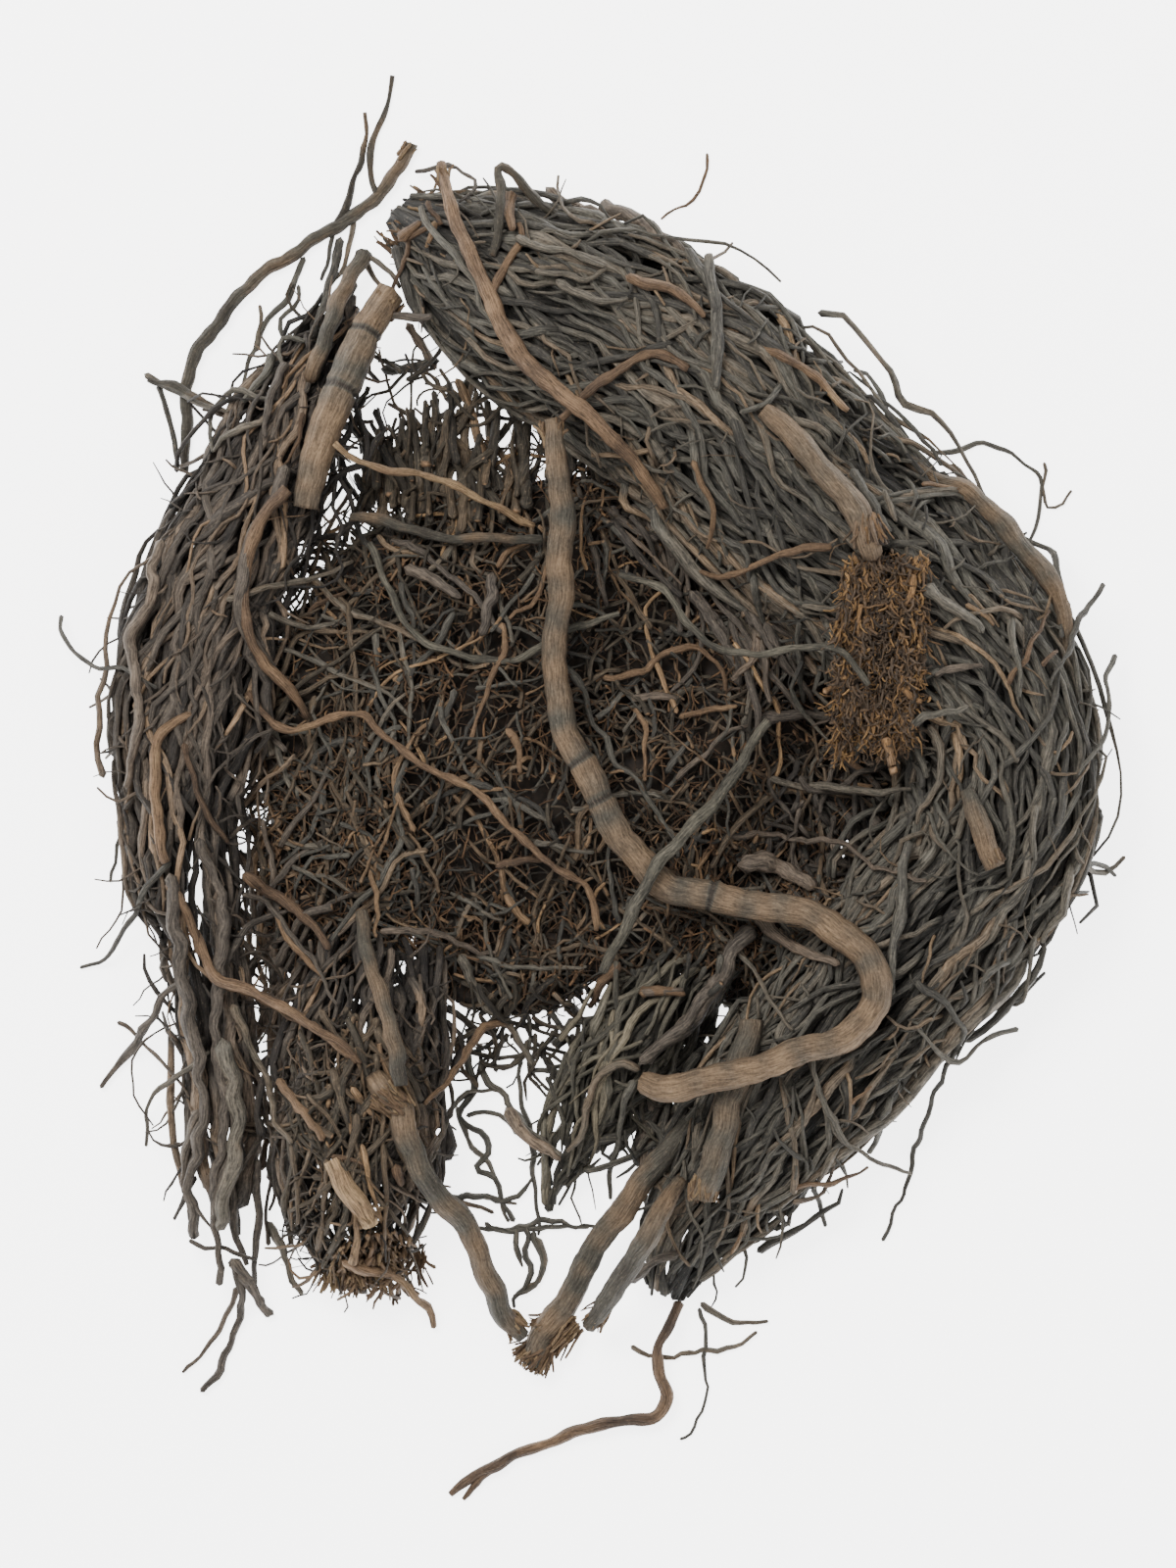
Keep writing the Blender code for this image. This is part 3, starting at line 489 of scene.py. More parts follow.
class Hank:
    """Room for roots along a middle line, and a little way past both of its ends."""

    def __init__(self, route, flatness):
        rows = smooth(metres(route), 3 * MM)
        first = rows[0] + (rows[0] - rows[1]) / np.linalg.norm((rows[0] - rows[1])[:2]) * BEYOND
        last = rows[-1] + (rows[-1] - rows[-2]) / np.linalg.norm((rows[-1] - rows[-2])[:2]) * BEYOND
        rows = np.vstack([first, rows, last])
        self.xy, self.half = rows[:, :2], rows[:, 2]
        steps = np.linalg.norm(np.diff(self.xy, axis=0), axis=1)
        self.run = np.concatenate([[0.0], np.cumsum(steps)]) - BEYOND
        self.length = self.run[-1] - BEYOND
        along = np.gradient(self.xy, axis=0)
        along /= np.linalg.norm(along, axis=1)[:, None]
        self.left = np.column_stack([-along[:, 1], along[:, 0]])
        self.flatness = flatness

    def read(self, at, values):
        return np.column_stack([np.interp(at, self.run, column) for column in np.atleast_2d(values.T)])

    def width(self, at):
        return self.read(at, self.half)[:, 0]

    def place(self, at, angle, out, radius):
        """Points at distances along the hank, at angles round it and out from 0 in the middle to 1."""
        half = self.width(at)
        room = np.maximum(half - radius, 0.3 * radius) * out
        height = half * self.flatness - PRESSED
        high = np.maximum(half * self.flatness - radius, 0.3 * radius) * out
        xy = self.read(at, self.xy) + self.read(at, self.left) * (room * np.cos(angle))[:, None]
        z = np.maximum(height + high * np.sin(angle), radius)
        return np.column_stack([xy, z])


def swing(source, run, waves):
    """An irregular swing along a root: a sum of waves, some of them with sharp turns."""
    total = np.zeros(len(run))
    for length, size in waves:
        turn = math.tau * run / (length * source.uniform(0.7, 1.5)) + source.uniform(0.0, math.tau)
        bend = np.sin(turn)
        if source.random() < 0.5:
            bend = np.arcsin(0.96 * bend) * 0.75
        total += size * source.uniform(0.4, 1.5) * bend
    return total


WAVES = (mm(60, 2.6), mm(26, 1.5), mm(12, 0.7), mm(6, 0.22))


def thickness(source, radius, count, tip=0.45):
    """A root's radius at each point: uneven, and slimmer towards its far end."""
    share = np.linspace(0.0, 1.0, count)
    uneven = 1.0 + 0.13 * np.interp(share, np.linspace(0.0, 1.0, 13), source.normal(0.0, 1.0, 13))
    return radius * np.clip(uneven, 0.7, 1.35) * (1.0 - (1.0 - tip) * share ** 2.5)


# Roots under the outside of a hank are darker, as painted shade, out from DARK_OUT to LIT_OUT, and
# some ends are pale
DARK_OUT, LIT_OUT = 0.7, 0.95
PALE_ENDS = 0.16
# How far round the section a lock may lie, in half turns, on top of a hank and under it
TOP_TURNS, UNDER_TURNS = (-0.15, 1.15), (1.15, 1.85)


def pick_tone(source, shades):
    """A tone from (share, low, high) rows."""
    shares = np.array([row[0] for row in shades])
    _, low, high = shades[source.choice(len(shades), p=shares / shares.sum())]
    return source.uniform(low, high)


def comb(hank, locks, lengths, radii, outs, shades, spacing=2.8 * MM, top_share=0.85, cross=0.6, stray=0.7,
         lock_size=(1, 5), loose=0.04, span=(0.0, 1.0), frayed=FRAYED):
    """Locks of roots laid along a hank. Cross is how far they wind round it, stray how much each leaves
    its lock, and loose how far those at the sides stand off. Span is the part of the hank they take."""
    items = []
    first, last = span[0] * hank.length, span[1] * hank.length
    for _ in range(locks):
        reach = rng.uniform(*lengths)
        start = rng.uniform(first - 0.2 * reach, last - 0.8 * reach)
        turns = TOP_TURNS if rng.random() < top_share else UNDER_TURNS
        angle = rng.uniform(*turns) * math.pi
        lock_drift = rng.normal(0.0, cross)
        shared = int(rng.integers(1 << 30))
        lock_out = rng.uniform(*outs)
        way = 1 if rng.random() < 0.5 else -1
        for _ in range(rng.integers(*lock_size)):
            radius = radii[0] + (radii[1] - radii[0]) * rng.beta(1.3, 2.4)
            fray = rng.exponential(loose)
            own_reach = reach * rng.uniform(0.6, 1.1)
            own_start = start + rng.uniform(-0.2, 0.3) * reach
            early, late = rng.exponential(frayed, 2) - BEYOND
            run = np.arange(0.0, own_reach, spacing)
            run = run[(own_start + run > early) & (own_start + run < hank.length - late)]
            if len(run) < 4:
                continue
            at = own_start + run
            width = np.maximum(hank.width(at), 3 * MM)
            together = swing(np.random.default_rng(shared), at, WAVES)
            side = (1.0 - stray) * together + stray * swing(rng, run, WAVES)
            offset = rng.normal(0.0, 3.2) * radius
            drift = lock_drift + rng.normal(0.0, 0.6 * cross)
            turn = angle + drift * (run / reach - 0.5) + (side + offset) / width
            share = run / own_reach
            out = lock_out + rng.uniform(-0.07, 0.07)
            out = out + 0.05 * np.sin(math.tau * run / (34 * MM) + rng.uniform(0, 6))
            out -= 0.22 * np.clip(1.0 - share / 0.12, 0.0, 1.0) ** 2
            out -= 0.22 * np.clip(share / 0.12 - 7.33, 0.0, 1.0) ** 2
            # Painted shade: a root's tone falls the further it lies under the outside of the hank
            shade = np.clip((out - DARK_OUT) / (LIT_OUT - DARK_OUT), 0.2, 1.0)
            out = np.minimum(out, 1.0) + fray * np.abs(np.cos(turn)) ** 6
            line = hank.place(at, turn, out, radius)
            keep = np.concatenate([[True], np.linalg.norm(np.diff(line, axis=0), axis=1) > 0.5 * MM])
            line, tones = line[keep], pick_tone(rng, shades) * shade[keep]
            if len(line) < 4:
                continue
            size = thickness(rng, radius, len(line))
            if way < 0:
                line, tones = line[::-1], tones[::-1]
            items.append(root(line, size, tones, *np.where(rng.random(2) < PALE_ENDS, 0.7, 0.0)))
    return items


main_hank = Hank(MAIN_HANK, 0.72)
side_hank = Hank(SIDE_HANK, 0.8)
lower_hank = Hank(LOWER_HANK, 0.8)
tassel = Hank(TASSEL, 0.9)
print("hank lengths in mm", [round(hank.length / MM) for hank in (main_hank, side_hank, lower_hank, tassel)])

# %% [markdown]
# The big hank is mostly dark grey with a green cast, with some brown roots and a few pale ones
# among them. Deep roots go in first, thick and painted near black as painted shade, then the combed
# ones on the outside, then thin ones.

# %% The big hank
GREY_SHADES = ((56, 0.25, 0.62), (24, 0.5, 0.74), (15, 0.68, 0.88), (4, 0.88, 1.0))
# Near-black tones: painted shade for the big hank's deep roots, and the own colour of the side hank's thin
# dark roots
DEEP_SHADES = ((1, 0.0, 0.3),)
PALE_SHADES = ((3, 0.6, 0.9), (1, 0.85, 1.0))
BROWN_SHADES = ((30, 0.12, 0.45), (36, 0.45, 0.72), (24, 0.7, 0.9), (10, 0.9, 1.0))
deep = comb(main_hank, 60, (0.08, 0.16), mm(1.6, 2.6), (0.5, 0.72), DEEP_SHADES, 8 * MM, lock_size=(2, 6),
            span=(0.03, 0.93))
sweep("main_hank_deep_roots", deep, 4, 0.1, grey_bark, ["main_hank"])
under = comb(main_hank, 140, (0.05, 0.11), mm(0.7, 1.8), (0.7, 0.86), GREY_SHADES, 5 * MM, cross=0.8)
sweep("main_hank_under_roots", under, 5, 0.28, grey_bark, ["main_hank"])
outer = comb(main_hank, 165, (0.03, 0.095), mm(0.6, 2.0), (0.84, 0.99), GREY_SHADES, cross=0.5)
sweep("main_hank_grey_roots", outer, 5, 0.28, grey_bark, ["main_hank"])
mixed = comb(main_hank, 110, (0.015, 0.06), mm(0.4, 1.5), (0.92, 1.03), GREY_SHADES, cross=0.9, stray=0.95,
             loose=0.1)
sweep("main_hank_outer_roots", mixed, 5, 0.28, grey_bark, ["main_hank"])

# %% [markdown]
# The side hank is thinner and browner, and loose enough that the floor shows through it.

# %% The side hank
side = comb(side_hank, 42, (0.05, 0.11), mm(0.8, 2.2), (0.45, 0.95), BROWN_SHADES, cross=0.9, loose=0.1,
            span=(0.08, 0.68))
side += comb(side_hank, 42, (0.03, 0.07), mm(0.5, 1.9), (0.85, 1.06), BROWN_SHADES, cross=1.2, stray=0.95,
             loose=0.16, span=(0.0, 0.68))
side += comb(side_hank, 20, (0.02, 0.05), mm(0.35, 0.9), (0.7, 1.1), DEEP_SHADES, cross=1.0, stray=0.9,
             loose=0.3, span=(0.0, 0.25))
side += comb(side_hank, 12, (0.04, 0.08), mm(0.9, 2.3), (0.7, 1.05), PALE_SHADES, cross=0.8, stray=0.9,
             loose=0.12, span=(0.62, 1.0), lock_size=(1, 4), frayed=9 * MM)
sweep("side_hank_roots", side, 5, 0.28, brown_bark, ["side_hank"])

# %% [markdown]
# The lower hank is short and thick, and brown like the side hank. The tassel is the smallest bunch,
# green-grey, and its roots stand well apart.

# %% The lower hank and the tassel
lower = comb(lower_hank, 86, (0.025, 0.06), mm(0.5, 1.9), (0.5, 1.0), BROWN_SHADES, cross=0.8, loose=0.12)
sweep("lower_hank_roots", lower, 5, 0.28, brown_bark, ["lower_hank"])
strands = comb(tassel, 64, (0.02, 0.05), mm(0.4, 1.7), (0.4, 1.08), ((1, 0.3, 1.0),), cross=1.2, stray=0.9,
               loose=0.4, frayed=11 * MM)
sweep("tassel_roots", strands, 5, 0.28, green_bark, ["tassel"])

# %% [markdown]
# What lies on the heap has to know how high the heap is. Each hank's top is worked out from its
# section, and the mat's from its dome. A root laid on them touches the highest of them, comes down
# off it no faster than a stiff root can bend, and is then smoothed.

# %% How high the heap is
Lobe = namedtuple("Lobe", "middle half_size height")


def lobe(across, down, half_across, half_down, height):
    """A low dome, with its middle and half sizes in pixels."""
    return Lobe(metres([(across, down, 0)])[0, :2], np.array((half_across, half_down)) * PIXEL, height)


MAT_LOBES = [
    lobe(584, 744, 370, 290, 20 * MM), lobe(345, 905, 95, 130, 12 * MM), lobe(445, 490, 100, 70, 7 * MM),
    lobe(520, 985, 95, 60, 8 * MM), lobe(790, 950, 120, 100, 17 * MM),
]
NET_LOBE = 2
MAT_TOPS = MAT_LOBES[:NET_LOBE] + MAT_LOBES[NET_LOBE + 1:]
MOST_SLOPE = 0.75
HOLLOWS = 7 * MM
HOLLOW_SCALE = 32.0


def dome(xy):
    """Height of the mat, with hollows in it, and 0 outside it."""
    high = np.zeros(len(xy))
    for part in MAT_LOBES:
        out = (((xy - part.middle) / part.half_size) ** 2).sum(axis=1)
        high = np.maximum(high, part.height * np.sqrt(np.clip(1.0 - out, 0.0, None)))
    dips = np.array([noise.noise(Vector((x * HOLLOW_SCALE, y * HOLLOW_SCALE, 4.0))) for x, y in xy])
    return high - np.minimum(HOLLOWS * np.clip(0.25 + 1.6 * dips, 0.0, 1.0), 0.6 * high)


def hank_top(hank, xy):
    """Height of a hank's top over places, and 0 beside it."""
    inside = (hank.run >= 0.0) & (hank.run <= hank.length)
    gap = np.linalg.norm(xy[:, None] - hank.xy[None, inside], axis=2)
    nearest = gap.argmin(axis=1)
    half = hank.half[inside][nearest]
    share = np.clip(gap[np.arange(len(xy)), nearest] / half, 0.0, 1.0)
    top = half * hank.flatness * (1.0 + np.sqrt(1.0 - share ** 2)) - PRESSED
    return np.where(share < 1.0, top, 0.0)


def heap_top(xy):
    """Height of whatever is highest over places."""
    tops = [dome(xy)] + [hank_top(hank, xy) for hank in (main_hank, side_hank, lower_hank, tassel)]
    return np.max(tops, axis=0)


def laid(rows, lift=0.0):
    """A line that lies on the heap, or a lift above it, along rows of x, y and radius."""
    xy, radii = rows[:, :2], rows[:, 2]
    gaps = np.linalg.norm(np.diff(xy, axis=0), axis=1)
    high = heap_top(xy) + radii + lift
    for k in range(1, len(high)):
        high[k] = max(high[k], high[k - 1] - MOST_SLOPE * gaps[k - 1])
    for k in range(len(high) - 2, -1, -1):
        high[k] = max(high[k], high[k + 1] - MOST_SLOPE * gaps[k])
    for _ in range(4):
        high[1:-1] = (high[:-2] + 2.0 * high[1:-1] + high[2:]) / 4.0
    return np.column_stack([xy, np.maximum(high, radii)])


print("mat height over its middle in mm", round(float(dome(MAT_LOBES[0].middle[None])[0]) / MM, 1))

# %% [markdown]
# Each stout root keeps the place of its solid in the frame. Its route gives the line from above, and
# a ray sent down onto the solid gives the height. The rest is what makes it a root and not a pipe:
# the outline has ridges that wind slowly, the radius swells at knots and pinches at old ring scars,
# and the line gets a slight unrest that the solid doesn't have.

# %% Roots that lie on the heap
STOUT_ROOTS = {
    "stump_root": [(766, 1040, 13), (754, 1090, 15), (740, 1140, 15), (727, 1190, 15), (717, 1224, 15)],
    "twin_root_inner": [
        (704, 1142, 8), (687, 1168, 11), (654, 1210, 13), (624, 1251, 14), (600, 1289, 14), (583, 1323, 14),
        (561, 1358, 15), (540, 1396, 13)],
    "twin_root_outer": [
        (696, 1206, 8), (676, 1232, 11), (658, 1262, 12), (638, 1300, 12), (617, 1334, 10), (600, 1356, 8)],
    "ankle_root": [
        (384, 1104, 14), (410, 1130, 14), (416, 1166, 13), (432, 1196, 13), (458, 1232, 13), (484, 1266, 12),
        (499, 1312, 12), (514, 1346, 11), (534, 1366, 9)],
    "arc_root": [
        (418, 140, 7), (400, 175, 7), (370, 206, 7), (330, 232, 7), (290, 258, 7), (262, 275, 7),
        (235, 305, 7), (210, 337, 8), (193, 362, 7), (187, 400, 7), (186, 440, 6), (183, 478, 5)],
    "side_stick": [(148, 382, 3), (175, 394, 5), (205, 408, 5), (245, 424, 3)],
    "short_root": [(368, 254, 9), (350, 295, 9), (331, 342, 9), (316, 385, 8)],
    "stout_root": [
        (398, 298, 17), (370, 344, 18), (348, 395, 19), (332, 442, 17), (317, 490, 16), (310, 518, 14)],
    "centre_root": [
        (368, 930, 6), (376, 970, 8), (386, 1008, 8), (397, 1040, 9), (407, 1070, 9), (408, 1106, 8)],
    "red_root": [(357, 526, 5), (392, 532, 6), (440, 545, 5), (500, 550, 5), (552, 551, 5)],
    "edge_root": [
        (925, 465, 6), (952, 487, 8), (985, 502, 9), (1020, 530, 11), (1050, 565, 11), (1076, 602, 10),
        (1090, 650, 8), (1092, 700, 6)],
    "right_stout_root": [
        (778, 420, 10), (802, 442, 13), (830, 474, 13), (857, 505, 14), (878, 536, 14), (887, 566, 12)],
    "hook_root": [
        (503, 262, 4), (508, 232, 5), (511, 196, 5), (510, 172, 5), (526, 181, 5), (547, 201, 5),
        (570, 220, 4)],
    "cut_stub": [(984, 806, 8), (992, 832, 11), (1003, 858, 11), (1014, 884, 11)],
    "bent_root": [
        (562, 430, 9), (570, 480, 12), (573, 540, 14), (572, 600, 14), (567, 660, 13), (569, 716, 14),
        (586, 766, 15), (613, 816, 16), (641, 865, 16), (682, 903, 16), (740, 918, 16), (800, 927, 16),
        (851, 946, 16), (884, 980, 16), (893, 1021, 16), (867, 1052, 16), (810, 1075, 15), (740, 1097, 15),
        (690, 1108, 15), (657, 1104, 13)],
}
TAN_ROOTS = {
    "tail_root": [
        (694, 1335, 6), (674, 1375, 6), (672, 1402, 7), (682, 1430, 7), (670, 1449, 8), (640, 1456, 7),
        (600, 1462, 7), (560, 1478, 6), (525, 1492, 6), (490, 1508, 6), (458, 1532, 4)],
    "side_tan_root": [
        (294, 500, 7), (270, 528, 7), (254, 565, 7), (251, 635, 6), (268, 674, 6), (290, 697, 6),
        (313, 732, 4)],
    "knee_root": [
        (170, 880, 5), (163, 850, 6), (158, 800, 6), (160, 760, 6), (178, 738, 5), (196, 728, 4)],
    "slant_root": [
        (196, 950, 5), (220, 995, 6), (262, 1014, 6), (305, 1036, 5), (335, 1056, 5), (366, 1082, 4)],
    "lower_stub": [(340, 1182, 9), (352, 1206, 11), (366, 1230, 11), (378, 1250, 10)],
    "tan_root": [
        (342, 453, 3), (368, 473, 4), (398, 481, 4), (444, 487, 4), (480, 504, 4), (514, 522, 4),
        (545, 536, 4)],
    "long_tan_root": [
        (250, 708, 4), (273, 731, 4), (294, 744, 4), (326, 739, 4), (352, 729, 4), (375, 728, 4),
        (390, 752, 4), (428, 777, 4), (476, 803, 4), (502, 823, 4), (527, 848, 4), (550, 875, 4),
        (594, 899, 4), (605, 925, 4), (607, 950, 3)],
    "pale_streak_root": [(735, 335, 4), (775, 356, 5), (814, 375, 5), (844, 398, 5), (865, 420, 3)],
    "curl_root": [(570, 433, 4), (600, 403, 5), (631, 380, 5), (659, 366, 5), (682, 367, 5), (702, 378, 5)],
    "forked_root": [
        (449, 165, 5), (456, 196, 7), (470, 236, 8), (487, 277, 8), (507, 320, 9), (530, 362, 10),
        (560, 395, 9), (600, 425, 9), (632, 457, 8), (656, 487, 7), (677, 518, 6)],
}
GREEN_ROOTS = {
    "curved_grey_root": [
        (378, 553, 4), (391, 590, 4), (404, 619, 4), (425, 648, 4), (464, 667, 4), (502, 675, 4),
        (533, 670, 4), (570, 648, 4), (604, 636, 4), (632, 626, 3)],
    "grey_arc_root": [
        (632, 587, 3), (665, 595, 4), (686, 612, 4), (701, 638, 4), (730, 660, 4), (768, 668, 4),
        (806, 664, 4), (844, 660, 4), (867, 675, 4), (884, 700, 3)],
    "over_root": [
        (783, 736, 5), (762, 768, 6), (732, 815, 7), (701, 848, 7), (675, 876, 7), (660, 901, 7),
        (643, 935, 7), (615, 990, 5)],
}
DARK_ROOTS = {"upright_root": [(724, 262, 5), (727, 300, 6), (729, 345, 6), (730, 400, 5)]}
BRANCHES = {
    "arc_root": [
        [(398, 70, 2.5), (396, 90, 3), (387, 115, 3.5), (376, 150, 3.5), (376, 175, 3.5), (384, 195, 3.5)],
        [(371, 108, 2), (370, 140, 3), (360, 172, 3.5), (350, 208, 4), (340, 228, 4)]],
    "forked_root": [[(531, 228, 3), (533, 244, 4), (520, 262, 4), (502, 303, 5)]],
    "tail_root": [[(470, 1536, 2.5), (490, 1516, 4), (515, 1500, 4)]],
}
SCARS = {"bent_root": [(589, 777), (612, 815), (725, 915)], "stout_root": [(347, 397), (372, 340)]}


ABOVE = 0.2
DOWN = Vector((0.0, 0.0, -1.0))


def solid_tree(name):
    """A solid of the frame, ready for rays."""
    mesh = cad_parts[name].data
    return BVHTree.FromPolygons([v.co for v in mesh.vertices], [face.vertices[:] for face in mesh.polygons])


def solid_top(tree, x, y):
    """Height of a solid over a place, or None beside it."""
    hit = tree.ray_cast(Vector((x, y, ABOVE)), DOWN)[0]
    return None if hit is None else hit.z


def heights_of(tree, rows):
    """The middle height of a solid root along rows of x, y and radius, found by rays from above."""
    found = np.full(len(rows), np.nan)
    for k, (x, y, radius) in enumerate(rows):
        top = solid_top(tree, x, y)
        if top is not None:
            found[k] = top - radius * 0.97
    known = ~np.isnan(found)
    steps = np.arange(len(rows))
    found = np.interp(steps, steps[known], found[known])
    for _ in range(3):
        found[1:-1] = (found[:-2] + 2.0 * found[1:-1] + found[2:]) / 4.0
    return found


def weathered(rows, heights, tone, scars=()):
    """A root along a route, with the unrest that the route leaves out; thin ones are the more uneven."""
    xy, half = rows[:, :2].copy(), rows[:, 2].copy()
    count = len(rows)
    step = np.linalg.norm(xy[1] - xy[0])
    run = np.arange(count) * step
    along = np.gradient(xy, axis=0)
    along /= np.linalg.norm(along, axis=1)[:, None]
    left = np.column_stack([-along[:, 1], along[:, 0]])
    uneven = min(max(0.13 * MM / half.mean(), 0.04), 0.15)
    stray = swing(rng, run, (mm(22, 0.3), mm(9, 0.17), mm(5, 0.06)))
    half *= 1.0 + uneven * swing(rng, run, ((14 * MM, 0.8), (6 * MM, 0.6), (3 * MM, 0.3)))
    tones = np.linspace(*tone, count) if isinstance(tone, tuple) else np.full(count, tone)
    tones += 0.14 * swing(rng, run, ((26 * MM, 0.8), (9 * MM, 0.4)))
    for scar in scars:
        place = metres([(*scar, 0)])[0, :2]
        near = np.linalg.norm(xy - place, axis=1)
        ring = np.exp(-((near - near.min()) / (0.4 * MM)) ** 2)
        half *= 1.0 - 0.12 * ring
        tones = tones - 0.6 * ring
    line = np.column_stack([xy + left * stray[:, None], heights])
    return root(line, half, tones, 1.0, 1.0, twist=18.0)


def stout(name, route, tone, material, sides=16, groove=0.14):
    """The root that stands for one solid, with its branches."""
    tree = solid_tree(name)
    rows = smooth(metres(route), 0.9 * MM)
    made = [weathered(rows, heights_of(tree, rows), tone, scars=SCARS.get(name, ()))]
    for branch in BRANCHES.get(name, []):
        twig = smooth(metres(branch), 1.5 * MM)
        made.append(weathered(twig, heights_of(tree, twig), tone))
    sweep(name + "_bark", made, sides, groove, material, [name])


TONES = {
    "bent_root": (0.44, 0.6), "stout_root": 0.5, "short_root": 0.45, "arc_root": (0.4, 0.2),
    "edge_root": 0.45,
    "right_stout_root": 0.5, "ankle_root": 0.4, "twin_root_inner": 0.4, "twin_root_outer": 0.35,
    "stump_root": 0.35, "centre_root": 0.4, "red_root": 0.35, "cut_stub": 0.45, "hook_root": 0.35,
    "side_stick": 0.35, "tail_root": 0.35, "side_tan_root": 0.45, "knee_root": 0.6, "slant_root": 0.5,
    "lower_stub": 0.95, "tan_root": 0.8, "long_tan_root": 0.55, "pale_streak_root": 0.6, "curl_root": 0.4,
    "forked_root": 0.5,
}
for name, route in STOUT_ROOTS.items():
    stout(name, route, TONES[name], stout_bark)
for name, route in TAN_ROOTS.items():
    stout(name, route, TONES[name], tan_bark, sides=12)
for name, route in GREEN_ROOTS.items():
    stout(name, route, 0.42, green_bark, sides=10)
for name, route in DARK_ROOTS.items():
    stout(name, route, 0.45, grey_bark, sides=10)

# %% [markdown]
# The mat is a tangle of short rootlets with no order, brown and rust ones under grey ones, with
# black gaps. A rootlet here is a walk of a few steps that turns a little at each, low at one end and
# higher at the other, and it is painted darker where it lies low, as painted shade. A lumpy core under
# them keeps the floor from showing, as the many more rootlets inside do on the real one; it is painted
# near black as painted shade.

# %% The core of the mat
CORE_SPREAD, CORE_HEIGHT = 0.86, 0.7
core = bmesh.new()
for part in MAT_TOPS:
    ball = bmesh.ops.create_icosphere(core, subdivisions=5, radius=1.0)["verts"]
    for vertex in ball:
        way = vertex.co.copy()
        lump = 1.0 + 0.1 * noise.fractal(way * 5.0, 0.6, 2.0, 4)
        xy = part.middle + CORE_SPREAD * lump * np.array(way.xy) * part.half_size
        high = min(part.height * math.sqrt(max(way.z, 0.0)), dome(xy[None])[0]) if way.z > 0.0 else 0.0
        vertex.co = (*xy, max(0.4 * MM, CORE_HEIGHT * high * lump))
core_mesh = bpy.data.meshes.new("mat_core")
core.to_mesh(core_mesh)
core.free()
core_mesh.shade_smooth()
# Painted shade: the core's near-black colour, with a faint speckle, stands for the shade inside the mat
core_shade, core_shade_shader = new_finish("painted_shade_core")
core_shade_tree = Wire(core_shade.node_tree)
crumb_place = core_shade_tree.node("ShaderNodeTexCoord", output=3)
crumb = core_shade_tree.node("ShaderNodeTexNoise", None, {"Vector": crumb_place, "Scale": 700.0, "Detail": 4.0})
core_shade_colour = core_shade_tree.node("ShaderNodeValToRGB", {
    "stops": [(0.3, (0.003, 0.0025, 0.002)), (0.7, (0.024, 0.015, 0.009))]}, {0: crumb})
core_shade.node_tree.links.new(core_shade_colour.socket, core_shade_shader.inputs["Base Color"])
core_shade_shader.inputs["Roughness"].default_value = 0.95
core_mesh.materials.append(core_shade)
mat_core = add_object("mat_core", core_mesh)
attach(mat_core, "root")
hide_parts("rootlet_mat")
print("mat_core faces", len(core_mesh.polygons))

# %% [markdown]
# Brown and rust rootlets fill the mat first. Then come longer grey and brown ones that lie more on
# its top, and last a haze of hairs.


# %% Rootlets
def walk(start, heading, length, steps, bend, jitter):
    """Places of a crooked walk on the ground, as x and y."""
    turn = heading + bend * np.linspace(0.0, 1.0, steps) + np.cumsum(rng.normal(0.0, jitter, steps))
    move = length / (steps - 1) * np.column_stack([np.cos(turn), np.sin(turn)])
    return start + np.vstack([[0.0, 0.0], np.cumsum(move[:-1], axis=0)])


# SHADED sets how far under its top a rootlet's colour darkens to painted shade
SHADED = 4 * MM  # how deep in the mat a rootlet goes dark


def rootlets(count, lengths, radii, depths, tones, heading=0.0, spread=math.pi, steps=6, bend=0.9,
             jitter=0.22, lobes=MAT_TOPS, top=dome):
    """Rootlets over a top: depths are how far under and over it they start and end."""
    items = []
    areas = np.array([part.half_size.prod() for part in lobes])
    for _ in range(count):
        way = rng.uniform(0.0, math.tau)
        part = lobes[rng.choice(len(lobes), p=areas / areas.sum())]
        out = math.sqrt(rng.random())
        start = part.middle + out * np.array((math.cos(way), math.sin(way))) * part.half_size
        turn = rng.uniform(-spread, spread) + heading
        radius = rng.uniform(*radii)
        places = walk(start, turn, rng.uniform(*lengths), steps, rng.normal(0.0, bend), jitter)
        low, high = depths[0] * rng.random(), depths[1] * rng.random()
        lift = np.linspace(low, high, steps) + rng.normal(0.0, 0.35 * MM, steps)
        if rng.random() < 0.5:
            lift = lift[::-1]
        z = np.maximum(top(places) + lift, radius)
        size = radius * (1.0 + rng.normal(0.0, 0.12, steps)) * np.linspace(1.0, rng.uniform(0.4, 0.9), steps)
        pale = 1.0 if rng.random() < 0.25 else 0.0
        tone = rng.beta(1.6, 2.2) * (tones[1] - tones[0]) + tones[0]
        # Painted shade: a rootlet's tone falls where it lies under the top
        shade = np.clip(1.0 + lift / SHADED, 0.22, 1.0)
        items.append(root(np.column_stack([places, z]), size, tone * shade, pale, pale))
    return items


